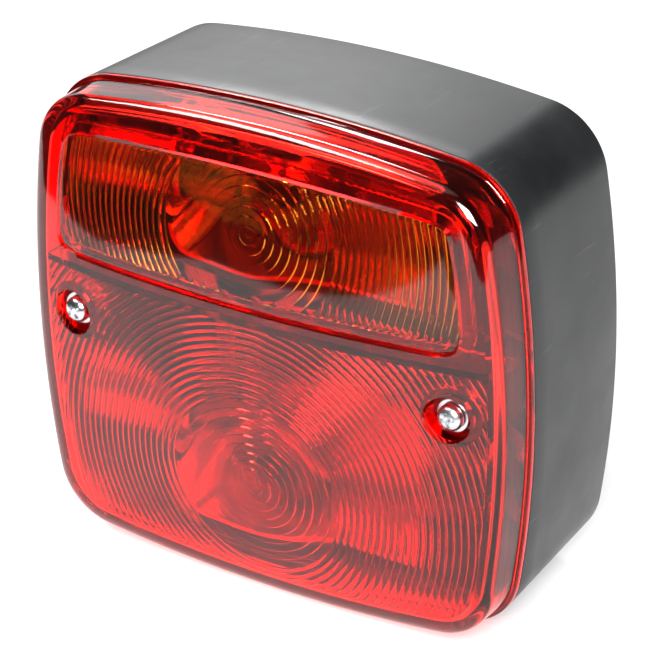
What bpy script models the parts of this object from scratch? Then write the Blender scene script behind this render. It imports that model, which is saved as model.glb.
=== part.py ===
"""Square two-bulb trailer tail light, modelled in metres.

+Z is up, the lens looks along -Y and +X is to the right when facing the lens.
The origin is the middle of the flat back face, which bolts to the trailer.
"""
import math

import bmesh
import bpy
from mathutils import Matrix, Vector

# ---- outline of the lamp ----
WIDTH = 0.110            # across the rim, at half height
HEIGHT = 0.1024          # over the rim, at mid width
CORNER = 0.0145          # corner radius of the rim
SIDE_BOW = 0.0027        # how far the left and right sides bulge
TOP_BOW = 0.0023         # how far the top and bottom sides bulge
REAR_SCALE = 0.973       # mould draft: back outline against front outline
SIDE_STEPS = 6           # facets along one side of the outline, even so that one falls mid-side
CORNER_STEPS = 4         # facets round one corner

# ---- depths, measured forwards from the back face ----
HOUSING_DEPTH = 0.035
BACK_WALL = 0.0024
SIDE_WALL = 0.0022
PLAY = 0.0003            # gap between pieces that touch
LEDGE_DEPTH = 0.031      # ledge inside the rim that carries the gasket
LEDGE_INSET = 0.0042
LENS_EDGE_DEPTH = 0.0457  # where the rounded edge meets the lens front
LENS_DOME = 0.0050       # rise of the lens front at its middle
DOME_HALF_WIDTH = 0.0506
DOME_HALF_HEIGHT = 0.0468
LENS_WALL = 0.0022
SKIRT_DEPTH = 0.0432     # where the skirt turns into the rounded edge
SKIRT_INSET = 0.0012
FRONT_INSET = 0.0044
TONGUE_INSET = 0.0026
TONGUE_INNER_INSET = 0.0040
HOLLOW_INSET = 0.0048
RIB_BACK = 0.0365        # the lens rib stands over the partition

# ---- amber window ----
WINDOW_BOTTOM = 0.0151
WINDOW_TOP = 0.0400
WINDOW_HALF_BOTTOM = 0.0454
WINDOW_HALF_TOP = 0.0431
WINDOW_CORNER = 0.0035
WINDOW_BOWS = (0.0, 0.0003, 0.0015, 0.0003)   # bottom, right, top, left
AMBER_MARGIN = 0.0018    # how far the amber plate reaches behind the red frame

# ---- lens screws ----
SCREW_X = 0.0429
SCREW_Z = 0.0014
POCKET_RADIUS = 0.00475
POCKET_WALL = 0.0013
POCKET_FLOOR_DEPTH = 0.0437
POCKET_FLOOR = 0.0017
BOSS_RADIUS = 0.0060
SCREW_RADIUS = 0.0015
SCREW_LENGTH = 0.0245
SCREW_HEAD_RADIUS = 0.00265
SCREW_HEAD_HEIGHT = 0.0020
WASHER_RADIUS = 0.0034
WASHER_THICKNESS = 0.0007

# ---- bulbs: axes lie along X ----
BULB_Z = {"upper": 0.0285, "lower": -0.0247}
BULB_DEPTH = 0.025
CAP_END_X = -0.040
CAP_RADIUS = 0.0075
CAP_LENGTH = 0.0165
GLASS_RADIUS = 0.0130
GLASS_TIP_X = 0.0115
PIN_X = -0.0308
PIN_RADIUS = 0.0009
BAYONET_TURN = math.radians(20.0)

# ---- bulb holders and contacts ----
SOCKET_INNER = 0.0080
SOCKET_WALL = 0.0007
SOCKET_REAR_X = -0.0470
SOCKET_FRONT_X = -0.0262
HOLDER_FOOT_X = -0.033
STRIP_DEPTH = 0.0067     # back surface of the contact strips
STRIP_THICKNESS = 0.0006
STRIP_WIDTH = 0.006
PAD_RADIUS = 0.0035
TERMINAL_X = 0.038
TERMINALS = {"indicator": 0.021, "stop": -0.012, "tail": -0.026, "earth": -0.040}
PLUNGER_OFFSETS = {"upper": {"indicator": 0.0}, "lower": {"stop": 0.0033, "tail": -0.0033}}

# ---- reflectors and partition ----
REFLECTOR_X = (-0.0255, 0.0300)
REFLECTOR_HALF_HEIGHT = {"upper": 0.0140, "lower": 0.0180}
REFLECTOR_BACK = 0.0095
REFLECTOR_FRONT = 0.0300
REFLECTOR_SHEET = 0.0010
REFLECTOR_SUPPORTS = (0.0158, 0.0370, -0.0185, -0.0330)
PARTITION_Z = 0.0110
PARTITION_THICKNESS = 0.0015

# ---- fixing to the trailer ----
STUD_X = 0.0225
STUD_RADIUS = 0.0025
STUD_REACH = 0.018
PANEL = 0.0020           # sheet that the nuts clamp, left out of the model
STUD_HEAD_WIDTH = 0.008
NUT_HEIGHT = 0.0040
FLAT_WASHER = (0.0050, 0.0010)      # radius, thickness
SPRING_WASHER = (0.0044, 0.0012)
GROMMET_Z = -0.033
GROMMET_HOLE = 0.0060               # radius of the hole in the back wall
CABLE_RADIUS = 0.0034

ROUND = 20               # facets of a large round piece
SMALL_ROUND = 12         # facets of a small round piece


def clear_scene():
    """Remove whatever the file already holds."""
    for old in list(bpy.data.objects):
        bpy.data.objects.remove(old, do_unlink=True)


def new_collection(name):
    """Make a collection and link it to the scene."""
    made = bpy.data.collections.new(name)
    bpy.context.scene.collection.children.link(made)
    return made


clear_scene()
LAMP = new_collection("trailer_tail_light")
CUTTERS = new_collection("cutters")


def material(name, colour, roughness, metallic=0.0):
    """A Principled material with one colour."""
    made = bpy.data.materials.new(name)
    made.use_nodes = True
    shader = made.node_tree.nodes["Principled BSDF"]
    shader.inputs["Base Color"].default_value = (*colour, 1.0)
    shader.inputs["Roughness"].default_value = roughness
    shader.inputs["Metallic"].default_value = metallic
    made.diffuse_color = (*colour, 1.0)
    return made


BLACK_ABS = material("black_abs", (0.020, 0.020, 0.021), 0.45)
RED_ACRYLIC = material("red_acrylic", (0.52, 0.012, 0.010), 0.12)
AMBER_ACRYLIC = material("amber_acrylic", (0.78, 0.10, 0.006), 0.12)
FOAM_RUBBER = material("foam_rubber", (0.015, 0.015, 0.015), 0.85)
METALLISED = material("metallised_plastic", (0.85, 0.85, 0.86), 0.15, 1.0)
ZINC = material("zinc_plated_steel", (0.62, 0.63, 0.65), 0.3, 1.0)
BRASS = material("brass", (0.72, 0.52, 0.22), 0.3, 1.0)
GLASS = material("bulb_glass", (0.90, 0.92, 0.92), 0.05)
TUNGSTEN = material("tungsten", (0.30, 0.29, 0.28), 0.4, 1.0)
FIBRE = material("fibre_board", (0.18, 0.07, 0.03), 0.7)
SPRING_STEEL = material("spring_steel", (0.50, 0.50, 0.52), 0.3, 1.0)


def keep(obj, name, finish):
    """Name a finished piece, give it its material and put it in the lamp's collection."""
    obj.name = name
    obj.data.name = name
    obj.data.materials.clear()
    obj.data.materials.append(finish)
    for holder in list(obj.users_collection):
        holder.objects.unlink(obj)
    LAMP.objects.link(obj)
    return obj


def mesh_object(name, mesh):
    """Wrap a mesh in an object that sits in the lamp's collection."""
    obj = bpy.data.objects.new(name, mesh)
    LAMP.objects.link(obj)
    return obj


def bowed_outline(corners, bows, radius, scale=1.0):
    """Closed outline round four corner centres (x, z), its sides bowed outwards.

    Each side is a parabola between two corner centres, moved out by the corner
    radius along its normal; arcs about the centres join one side to the next.
    """
    points = []
    for index, bow in enumerate(bows):
        start = Vector(corners[index])
        end = Vector(corners[(index + 1) % 4])
        following = Vector(corners[(index + 2) % 4])
        along = (end - start).normalized()
        half = (end - start).length / 2
        out = Vector((along.y, -along.x))
        for step in range(SIDE_STEPS + 1):
            place = 2.0 * step / SIDE_STEPS - 1.0
            middle = (start + end) / 2 + along * half * place + out * bow * (1 - place * place)
            normal = (out * half + along * 2 * bow * place).normalized()
            points.append(middle + normal * radius)
        next_along = (following - end).normalized()
        next_half = (following - end).length / 2
        next_out = Vector((next_along.y, -next_along.x))
        next_bow = bows[(index + 1) % 4]
        first = (out * half + along * 2 * bow).normalized()
        last = (next_out * next_half - next_along * 2 * next_bow).normalized()
        turn = first.angle(last)
        for step in range(1, CORNER_STEPS):
            angle = turn * step / CORNER_STEPS
            spun = Vector((first.x * math.cos(angle) - first.y * math.sin(angle),
                           first.x * math.sin(angle) + first.y * math.cos(angle)))
            points.append(end + spun * radius)
    return [point * scale for point in points]


def lamp_outline(inset, scale=1.0):
    """The lamp's own outline, drawn inset from the rim."""
    x = WIDTH / 2 - CORNER - SIDE_BOW
    z = HEIGHT / 2 - CORNER - TOP_BOW
    corners = [(-x, -z), (x, -z), (x, z), (-x, z)]
    bows = (TOP_BOW, SIDE_BOW, TOP_BOW, SIDE_BOW)
    return bowed_outline(corners, bows, CORNER - inset, scale)


def window_outline(margin):
    """The amber window's outline, grown by a margin."""
    low = WINDOW_BOTTOM + WINDOW_CORNER
    high = WINDOW_TOP - WINDOW_CORNER
    wide = WINDOW_HALF_BOTTOM - WINDOW_CORNER
    narrow = WINDOW_HALF_TOP - WINDOW_CORNER
    corners = [(-wide, low), (wide, low), (narrow, high), (-narrow, high)]
    return bowed_outline(corners, WINDOW_BOWS, WINDOW_CORNER + margin)


def ring(points, depth):
    """Place outline points at a constant depth in front of the back face."""
    return [Vector((point.x, -depth, point.y)) for point in points]


def draft(depth):
    """Scale of the housing outline at a depth, from mould draft."""
    return REAR_SCALE + (1.0 - REAR_SCALE) * min(depth / HOUSING_DEPTH, 1.0)


def dome(x, z):
    """Rise of the lens front over its edge at a place on the front."""
    across = max(0.0, 1.0 - (x / DOME_HALF_WIDTH) ** 2)
    along = max(0.0, 1.0 - (z / DOME_HALF_HEIGHT) ** 2)
    return LENS_DOME * across * along


def domed_ring(points, depth, scale, centre_z=0.0):
    """Outline points drawn towards a centre and lifted onto the domed front."""
    made = []
    for point in points:
        x = point.x * scale
        z = centre_z + (point.y - centre_z) * scale
        made.append(Vector((x, -depth - dome(x, z), z)))
    return made


def loft(name, rings, finish, closed=False):
    """Skin rings of equal point count; open ends are capped round their middle point."""
    shape = bmesh.new()
    rows = [[shape.verts.new(point) for point in points] for points in rings]
    pairs = list(zip(rows, rows[1:]))
    if closed:
        pairs.append((rows[-1], rows[0]))
    for lower, upper in pairs:
        count = len(lower)
        for index in range(count):
            following = (index + 1) % count
            shape.faces.new((lower[index], lower[following], upper[following], upper[index]))
    if not closed:
        for row in (rows[0], rows[-1]):
            if len({round(vertex.co.y, 7) for vertex in row}) == 1:
                shape.faces.new(row)
                continue
            middle = sum((vertex.co for vertex in row), Vector()) / len(row)
            middle.y = -depth_at_middle(row)
            tip = shape.verts.new(middle)
            for index, vertex in enumerate(row):
                shape.faces.new((vertex, row[(index + 1) % len(row)], tip))
    bmesh.ops.recalc_face_normals(shape, faces=shape.faces)
    mesh = bpy.data.meshes.new(name)
    shape.to_mesh(mesh)
    shape.free()
    return keep(mesh_object(name, mesh), name, finish)


def depth_at_middle(row):
    """Depth of the tip that closes a domed ring: its deepest point, a little further out."""
    return max(-vertex.co.y for vertex in row) + 0.00002


def turned(name, profile, finish, location, axis, closed=False, steps=ROUND):
    """Spin a profile of (radius, height) about its own Z and lay that along an axis."""
    count = len(profile)
    edges = [(index, index + 1) for index in range(count - 1)]
    if closed:
        edges.append((count - 1, 0))
    mesh = bpy.data.meshes.new(name)
    mesh.from_pydata([(radius, 0.0, height) for radius, height in profile], edges, [])
    obj = mesh_object(name, mesh)
    spin = obj.modifiers.new("spin", "SCREW")
    spin.axis = "Z"
    spin.steps = steps
    spin.render_steps = steps
    spin.use_merge_vertices = True
    spin.merge_threshold = 0.00001
    spin.use_smooth_shade = True
    obj.location = location
    obj.rotation_euler = Vector(axis).to_track_quat("Z", "Y").to_euler()
    return keep(obj, name, finish)


def solid_disc(radius, low, high):
    """Profile of a plain disc or pin between two heights."""
    return [(0.0, high), (radius, high), (radius, low), (0.0, low)]


def hollow_disc(inner, outer, low, high):
    """Profile of a plain ring between two heights, for a closed turn."""
    return [(outer, high), (outer, low), (inner, low), (inner, high)]


def block(name, low, high, finish=None):
    """A box between two corners, made from the cube primitive."""
    low = Vector(low)
    high = Vector(high)
    mesh = bpy.data.meshes.new(name)
    shape = bmesh.new()
    size = high - low
    bmesh.ops.create_cube(shape, size=1.0, matrix=Matrix.Diagonal((*size, 1.0)))
    shape.to_mesh(mesh)
    shape.free()
    obj = mesh_object(name, mesh)
    obj.location = (low + high) / 2
    return keep(obj, name, finish or BLACK_ABS)


def rod(name, radius, start, end, finish=None, segments=ROUND):
    """A cylinder between two points, made from the cone primitive."""
    start = Vector(start)
    end = Vector(end)
    mesh = bpy.data.meshes.new(name)
    shape = bmesh.new()
    bmesh.ops.create_cone(shape, cap_ends=True, segments=segments, radius1=radius, radius2=radius,
                          depth=(end - start).length)
    shape.to_mesh(mesh)
    shape.free()
    obj = mesh_object(name, mesh)
    obj.location = (start + end) / 2
    obj.rotation_euler = (end - start).to_track_quat("Z", "Y").to_euler()
    return keep(obj, name, finish or BLACK_ABS)


def combine(target, tool, operation):
    """Boolean a tool into a target and put the tool away with the cutters."""
    change = target.modifiers.new(operation.lower(), "BOOLEAN")
    change.operation = operation
    change.solver = "EXACT"
    change.object = tool
    tool.hide_render = True
    tool.display_type = "WIRE"
    if tool.name in LAMP.objects:
        LAMP.objects.unlink(tool)
        CUTTERS.objects.link(tool)


def cut(target, tool):
    """Take a tool away from a target."""
    combine(target, tool, "DIFFERENCE")


def join(target, tool):
    """Weld a tool onto a target."""
    combine(target, tool, "UNION")


def wire(name, points, radius, finish, resolution=1):
    """A bent wire through points, with closed ends."""
    curve = bpy.data.curves.new(name, "CURVE")
    curve.dimensions = "3D"
    curve.bevel_depth = radius
    curve.bevel_resolution = resolution
    curve.use_fill_caps = True
    spline = curve.splines.new("POLY")
    spline.points.add(len(points) - 1)
    for place, point in zip(spline.points, points):
        place.co = (*point, 1.0)
    obj = bpy.data.objects.new(name, curve)
    LAMP.objects.link(obj)
    return keep(obj, name, finish)


def hold(parent, *children):
    """Parent pieces to another object without moving them."""
    bpy.context.view_layer.update()
    for child in children:
        child.parent = parent
        child.matrix_parent_inverse = parent.matrix_world.inverted()


def axis_empty(name, location):
    """An empty that marks a joint axis."""
    empty = bpy.data.objects.new(name, None)
    empty.location = location
    LAMP.objects.link(empty)
    return empty


def make_housing():
    """Black moulded box: tapered walls, inner ledge, bosses, pads and guide ribs."""
    edge = 0.0015
    wall = SIDE_WALL
    rings = [
        ring(lamp_outline(edge, REAR_SCALE), 0.0),
        ring(lamp_outline(edge * 0.3, REAR_SCALE), edge * 0.3),
        ring(lamp_outline(0.0, draft(edge)), edge),
        ring(lamp_outline(0.0), HOUSING_DEPTH - 0.0004),
        ring(lamp_outline(0.0004), HOUSING_DEPTH),
        ring(lamp_outline(wall), HOUSING_DEPTH),
        ring(lamp_outline(wall), LEDGE_DEPTH),
        ring(lamp_outline(LEDGE_INSET), LEDGE_DEPTH),
        ring(lamp_outline(LEDGE_INSET), LEDGE_DEPTH - 0.0012),
        ring(lamp_outline(wall, draft(LEDGE_DEPTH - 0.004)), LEDGE_DEPTH - 0.004),
        ring(lamp_outline(wall, REAR_SCALE), BACK_WALL),
    ]
    housing = loft("housing", rings, BLACK_ABS)
    inner_face = BACK_WALL - 0.0005
    for side in (-1, 1):
        boss_front = POCKET_FLOOR_DEPTH - POCKET_FLOOR - PLAY
        x = side * SCREW_X
        join(housing, rod("boss", BOSS_RADIUS, (x, -inner_face, SCREW_Z), (x, -boss_front, SCREW_Z)))
        bore = boss_front - SCREW_LENGTH
        cut(housing, rod("bore", SCREW_RADIUS + PLAY, (x, -bore, SCREW_Z), (x, -0.045, SCREW_Z),
                         segments=SMALL_ROUND))
        for offset in (-1, 1):
            z = PARTITION_Z + offset * (PARTITION_THICKNESS / 2 + PLAY + 0.0006)
            reach = WIDTH / 2 * REAR_SCALE - SIDE_WALL - 0.0002
            low = (min(side * 0.0475, side * reach), -0.0285, z - 0.0006)
            high = (max(side * 0.0475, side * reach), -inner_face, z + 0.0006)
            join(housing, block("guide", low, high))
    pad_front = STRIP_DEPTH - PLAY
    for x, z in screw_pads():
        join(housing, rod("pad", PAD_RADIUS, (x, -inner_face, z), (x, -pad_front, z), segments=SMALL_ROUND))
        cut(housing, rod("pad_bore", 0.0016, (x, -0.0012, z), (x, -0.010, z), segments=10))
    support = REFLECTOR_BACK - PLAY
    for z in REFLECTOR_SUPPORTS:
        join(housing, rod("support", 0.0015, (0.020, -inner_face, z), (0.020, -support, z), segments=8))
    for side in (-1, 1):
        x = side * STUD_X
        cut(housing, rod("stud_hole", STUD_RADIUS + 0.0002, (x, 0.01, 0), (x, -0.01, 0),
                         segments=SMALL_ROUND))
    cut(housing, rod("cable_hole", GROMMET_HOLE, (0, 0.01, GROMMET_Z), (0, -0.006, GROMMET_Z)))
    return housing


def screw_pads():
    """Places on the back wall where a strip or a bulb holder is screwed down."""
    places = [(TERMINAL_X, z) for z in TERMINALS.values()]
    places += [(HOLDER_FOOT_X, z) for z in BULB_Z.values()]
    return places


def make_gasket():
    """Foam ring that lies on the ledge, under the lens tongue."""
    back = LEDGE_DEPTH + PLAY
    front = back + 0.0011
    outer = SIDE_WALL + PLAY
    inner = TONGUE_INNER_INSET
    rings = [
        ring(lamp_outline(outer), back),
        ring(lamp_outline(outer), front),
        ring(lamp_outline(inner), front),
        ring(lamp_outline(inner), back),
    ]
    return loft("lens_gasket", rings, FOAM_RUBBER, closed=True)


def make_red_lens():
    """Red dish: lip, skirt, rounded edge, domed front, window and screw pockets."""
    seat = HOUSING_DEPTH + PLAY
    lip = seat + 0.0010
    front = lamp_outline(FRONT_INSET)
    inner = lamp_outline(HOLLOW_INSET)
    edge_in = FRONT_INSET - SKIRT_INSET
    edge_out = LENS_EDGE_DEPTH - SKIRT_DEPTH
    rings = [ring(lamp_outline(TONGUE_INSET), LEDGE_DEPTH + 0.0017), ring(lamp_outline(TONGUE_INSET), seat)]
    rings += [ring(lamp_outline(0.0), seat), ring(lamp_outline(0.0), lip), ring(lamp_outline(0.0008), lip)]
    for angle in (0.0, 22.5, 45.0, 67.5):
        turn = math.radians(angle)
        inset = SKIRT_INSET + edge_in * (1 - math.cos(turn))
        rings.append(ring(lamp_outline(inset), SKIRT_DEPTH + edge_out * math.sin(turn)))
    for scale in (1.0, 0.75, 0.5, 0.25):
        rings.append(domed_ring(front, LENS_EDGE_DEPTH, scale))
    outer = loft("lens_red", rings, RED_ACRYLIC)
    tongue = lamp_outline(TONGUE_INNER_INSET)
    rings = [ring(tongue, 0.020), ring(tongue, SKIRT_DEPTH - 0.0006)]
    rings += [domed_ring(inner, LENS_EDGE_DEPTH - LENS_WALL, scale) for scale in (1.0, 0.75, 0.5, 0.25)]
    hollow = loft("hollow", rings, RED_ACRYLIC)
    half = PARTITION_THICKNESS / 2
    cut(hollow, block("rib", (-0.055, -0.055, PARTITION_Z - half), (0.055, -RIB_BACK, PARTITION_Z + half)))
    floor = POCKET_FLOOR_DEPTH
    for side in (-1, 1):
        x = side * SCREW_X
        cut(hollow, rod("cup", POCKET_RADIUS + POCKET_WALL, (x, -floor + POCKET_FLOOR, SCREW_Z),
                        (x, -0.055, SCREW_Z)))
    cut(outer, hollow)
    for side in (-1, 1):
        x = side * SCREW_X
        cut(outer, rod("pocket", POCKET_RADIUS, (x, -floor, SCREW_Z), (x, -0.055, SCREW_Z)))
        cut(outer, rod("way", SCREW_RADIUS + 0.0005, (x, -0.040, SCREW_Z), (x, -0.045, SCREW_Z),
                       segments=SMALL_ROUND))
    opening = [ring(window_outline(0.0), 0.040), ring(window_outline(0.0), 0.055)]
    cut(outer, loft("opening", opening, RED_ACRYLIC))
    return outer


def make_amber_lens():
    """Amber window: flush with the red front, with a flange welded behind the red frame."""
    flange = window_outline(AMBER_MARGIN)
    face = window_outline(-PLAY)
    shoulder = LENS_EDGE_DEPTH - LENS_WALL - PLAY
    back = shoulder - 0.0017
    middle = (WINDOW_BOTTOM + WINDOW_TOP) / 2
    rings = [domed_ring(flange, back, scale, middle) for scale in (0.3, 0.65, 1.0)]
    rings.append(domed_ring(flange, shoulder, 1.0, middle))
    rings.append(domed_ring(face, shoulder, 1.0, middle))
    rings += [domed_ring(face, LENS_EDGE_DEPTH, scale, middle) for scale in (1.0, 0.65, 0.3)]
    return loft("lens_amber", rings, AMBER_ACRYLIC)


def make_lens_screw(side):
    """Pan-head screw with a cross recess, and the washer under its head."""
    name = "left" if side < 0 else "right"
    x = side * SCREW_X
    washer_low = POCKET_FLOOR_DEPTH + PLAY
    head_low = washer_low + WASHER_THICKNESS + PLAY
    washer = turned(f"lens_washer_{name}",
                    hollow_disc(SCREW_RADIUS + PLAY, WASHER_RADIUS, 0.0, WASHER_THICKNESS),
                    ZINC, (x, -washer_low, SCREW_Z), (0, -1, 0), closed=True)
    height = SCREW_HEAD_HEIGHT
    radius = SCREW_HEAD_RADIUS
    profile = [(0.0, height), (radius * 0.55, height * 0.95), (radius * 0.85, height * 0.72),
               (radius, height * 0.3), (radius, 0.0), (SCREW_RADIUS, 0.0),
               (SCREW_RADIUS, -SCREW_LENGTH + 0.003), (0.0005, -SCREW_LENGTH), (0.0, -SCREW_LENGTH)]
    screw = turned(f"lens_screw_{name}", profile, ZINC, (x, -head_low, SCREW_Z), (0, -1, 0),
                   steps=SMALL_ROUND)
    top = head_low + height
    for wide, tall in ((0.0016, 0.0004), (0.0004, 0.0016)):
        low = (x - wide, -top - 0.001, SCREW_Z - tall)
        high = (x + wide, -top + 0.0012, SCREW_Z + tall)
        cut(screw, block("recess", low, high))
    hold(washer, screw)
    return washer, screw


def make_partition():
    """Plate between the indicator chamber and the stop and tail chamber."""
    half = PARTITION_THICKNESS / 2
    reach = WIDTH / 2 * REAR_SCALE - SIDE_WALL - 0.0012
    back = STRIP_DEPTH + STRIP_THICKNESS + 0.0006
    return block("chamber_partition", (-reach, -0.0280, PARTITION_Z - half),
                 (reach, -back, PARTITION_Z + half), BLACK_ABS)


def make_reflector(place):
    """Metallised tray behind a bulb, notched on the left for the bulb holder."""
    z = BULB_Z[place]
    half = REFLECTOR_HALF_HEIGHT[place]
    low_x, high_x = REFLECTOR_X
    flare = 0.0030
    sheet = REFLECTOR_SHEET

    def rectangle(grow, depth):
        radius = 0.005
        left = low_x - grow + radius
        right = high_x + grow - radius
        low = z - half - grow + radius
        high = z + half + grow - radius
        corners = [(left, low), (right, low), (right, high), (left, high)]
        return ring(bowed_outline(corners, (0.0001,) * 4, radius), depth)

    tray = loft(f"reflector_{place}", [
        rectangle(-0.004, REFLECTOR_BACK),
        rectangle(-0.0015, REFLECTOR_BACK + 0.003),
        rectangle(flare - 0.0015, REFLECTOR_FRONT),
        rectangle(flare - 0.0015 - sheet, REFLECTOR_FRONT),
        rectangle(-0.0015 - sheet, REFLECTOR_BACK + 0.003 + sheet * 0.5),
        rectangle(-0.0045, REFLECTOR_BACK + sheet),
    ], METALLISED)
    cut(tray, block("notch", (low_x - 0.008, -REFLECTOR_FRONT - 0.001, z - 0.0105),
                    (low_x + 0.005, -0.0125, z + 0.0105)))
    return tray


def make_holder(place):
    """Steel bayonet socket with a bent leg and a foot that is screwed to the back wall."""
    z = BULB_Z[place]
    axis_y = -BULB_DEPTH
    outer = SOCKET_INNER + SOCKET_WALL
    length = SOCKET_FRONT_X - SOCKET_REAR_X
    profile = [(outer, length - 0.0008), (outer, 0.0), (SOCKET_INNER, 0.0), (SOCKET_INNER, length),
               (outer + 0.0014, length), (outer + 0.0014, length - 0.0008)]
    rear = (SOCKET_REAR_X, axis_y, z)
    socket = turned(f"bulb_holder_{place}", profile, ZINC, rear, (1, 0, 0), closed=True)
    foot_back = STRIP_DEPTH + STRIP_THICKNESS + PLAY
    foot_front = foot_back + 0.0010
    leg_front = BULB_DEPTH - SOCKET_INNER - SOCKET_WALL * 0.5
    join(socket, block("leg", (-0.0462, -leg_front, z - 0.0042), (-0.0452, -foot_back, z + 0.0042)))
    join(socket, block("foot", (-0.0462, -foot_front, z - 0.0042),
                       (HOLDER_FOOT_X + 0.0042, -foot_back, z + 0.0042)))
    cut(socket, rod("foot_hole", 0.0017, (HOLDER_FOOT_X, 0, z), (HOLDER_FOOT_X, -0.012, z), segments=10))
    slot = PIN_RADIUS + 0.0005
    for side in (-1, 1):
        far = side * 0.0115
        near = side * 0.0060
        low_z = min(far, near) + z
        high_z = max(far, near) + z
        for step in range(5):
            turn = BAYONET_TURN * step / 4
            start = PIN_X - slot
            end = SOCKET_FRONT_X + 0.001 if step == 4 else PIN_X + slot
            tool = block("pin_slot", (start, axis_y - slot, low_z), (end, axis_y + slot, high_z))
            spin_about_bulb(tool, turn, z)
            cut(socket, tool)
    return socket


def spin_about_bulb(obj, angle, z):
    """Turn a placed object about a bulb's axis."""
    bpy.context.view_layer.update()
    pivot = Matrix.Translation((0, -BULB_DEPTH, z))
    obj.matrix_world = pivot @ Matrix.Rotation(angle, 4, "X") @ pivot.inverted() @ obj.matrix_world


def make_contacts(place):
    """Fibre disc in the socket, with its sprung brass contact plungers."""
    z = BULB_Z[place]
    axis_y = -BULB_DEPTH
    rear = SOCKET_REAR_X + 0.0003
    thick = 0.0012
    disc = turned(f"contact_insulator_{place}", solid_disc(SOCKET_INNER - PLAY, 0.0, thick), FIBRE,
                  (rear, axis_y, z), (1, 0, 0))
    made = []
    for circuit, offset in PLUNGER_OFFSETS[place].items():
        at = z + offset
        cut(disc, rod("stem_hole", 0.0013, (rear - 0.002, axis_y, at), (rear + 0.004, axis_y, at),
                      segments=10))
        head_front = CAP_END_X - PLAY
        profile = [(0.0, 0.0), (0.0014, 0.0), (0.0020, -0.0005), (0.0020, -0.0014), (0.0010, -0.0014),
                   (0.0010, -0.0072), (0.0, -0.0072)]
        plunger = turned(f"contact_plunger_{circuit}", profile, BRASS, (head_front, axis_y, at), (1, 0, 0),
                         steps=12)
        start = rear + thick + 0.0004
        end = head_front - 0.0014 - 0.0004
        turns = 3
        points = []
        for step in range(turns * 8 + 1):
            part = step / (turns * 8)
            angle = part * turns * math.tau
            points.append((start + (end - start) * part, axis_y + 0.0015 * math.cos(angle),
                           at + 0.0015 * math.sin(angle)))
        spring = wire(f"contact_spring_{circuit}", points, 0.00017, SPRING_STEEL)
        made.append((plunger, spring))
    return disc, made


def make_bulb(place):
    """Bayonet bulb: brass cap with two pins, glass and filament wires."""
    z = BULB_Z[place]
    axis_y = -BULB_DEPTH
    start = CAP_END_X
    wall = 0.0005
    cap_profile = [(0.0, -0.0), (0.0040, 0.0), (CAP_RADIUS - 0.0005, 0.0006), (CAP_RADIUS, 0.0016),
                   (CAP_RADIUS, CAP_LENGTH), (CAP_RADIUS - wall, CAP_LENGTH), (CAP_RADIUS - wall, 0.0026),
                   (0.0, 0.0026)]
    cap = turned(f"bulb_cap_{place}", list(reversed(cap_profile)), BRASS, (start, axis_y, z), (1, 0, 0))
    for side in (-1, 1):
        inner = z + side * (CAP_RADIUS - 0.0003)
        outer = z + side * (SOCKET_INNER + SOCKET_WALL + 0.0006)
        join(cap, rod("pin", PIN_RADIUS, (PIN_X, axis_y, inner), (PIN_X, axis_y, outer), segments=10))
    neck = CAP_RADIUS - wall - 0.0004
    neck_x = start + 0.0045
    middle_x = GLASS_TIP_X - GLASS_RADIUS - 0.0005
    sheet = 0.0006
    outer = [(neck, neck_x), (neck, neck_x + 0.0125)]
    for step in range(1, 7):
        angle = math.radians(-58 + 148 * step / 6)
        outer.append((GLASS_RADIUS * math.cos(angle), middle_x + 0.0005 + GLASS_RADIUS * math.sin(angle)))
    outer[-1] = (0.0, GLASS_TIP_X)
    inner = [(max(radius - sheet, 0.0), min(height, GLASS_TIP_X - sheet)) for radius, height in outer]
    profile = list(reversed(outer)) + inner
    profile = [(radius, height - start) for radius, height in profile]
    glass = turned(f"bulb_glass_{place}", profile, GLASS, (start, axis_y, z), (1, 0, 0))
    pieces = [cap, glass]
    filaments = {"indicator": 0.0} if place == "upper" else {"stop": 0.0026, "tail": -0.0032}
    for circuit, height in filaments.items():
        root = neck_x + 0.001
        reach = 0.0012 if circuit != "tail" else 0.0045
        points = [(root, axis_y + height, z - 0.0022), (-0.008, axis_y + height, z - 0.0024),
                  (reach, axis_y + height, z - 0.0045), (reach, axis_y + height, z + 0.0045),
                  (-0.008, axis_y + height, z + 0.0024), (root, axis_y + height, z + 0.0022)]
        pieces.append(wire(f"filament_{circuit}", points, 0.00025, TUNGSTEN))
    marker = axis_empty(f"bulb_axis_{place}", (0, axis_y, z))
    hold(marker, *pieces)
    return pieces


def make_strip(name, boxes, holes):
    """Flat contact strip made of overlapping bars, drilled for its screws."""
    back = STRIP_DEPTH
    front = STRIP_DEPTH + STRIP_THICKNESS
    first, *others = boxes
    strip = block(name, (first[0], -front, first[2]), (first[1], -back, first[3]), BRASS)
    for low_x, high_x, low_z, high_z in others:
        join(strip, block("arm", (low_x, -front, low_z), (high_x, -back, high_z)))
    for x, z in holes:
        cut(strip, rod("strip_hole", 0.0017, (x, 0, z), (x, -0.012, z), segments=10))
    return strip


def make_strips():
    """Three live strips and the earth strip, which joins both bulb holders."""
    half = STRIP_WIDTH / 2
    for circuit in ("indicator", "stop", "tail"):
        z = TERMINALS[circuit]
        make_strip(f"contact_strip_{circuit}", [(-0.0275, TERMINAL_X + half, z - half, z + half)],
                   [(TERMINAL_X, z)])
    z = TERMINALS["earth"]
    upright = (HOLDER_FOOT_X - half, HOLDER_FOOT_X + half, z - half, BULB_Z["upper"] + half)
    lower_arm = (HOLDER_FOOT_X, TERMINAL_X + half, z - half, z + half)
    holes = [(TERMINAL_X, z)] + [(HOLDER_FOOT_X, place) for place in BULB_Z.values()]
    make_strip("earth_strip", [upright, lower_arm], holes)


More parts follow.
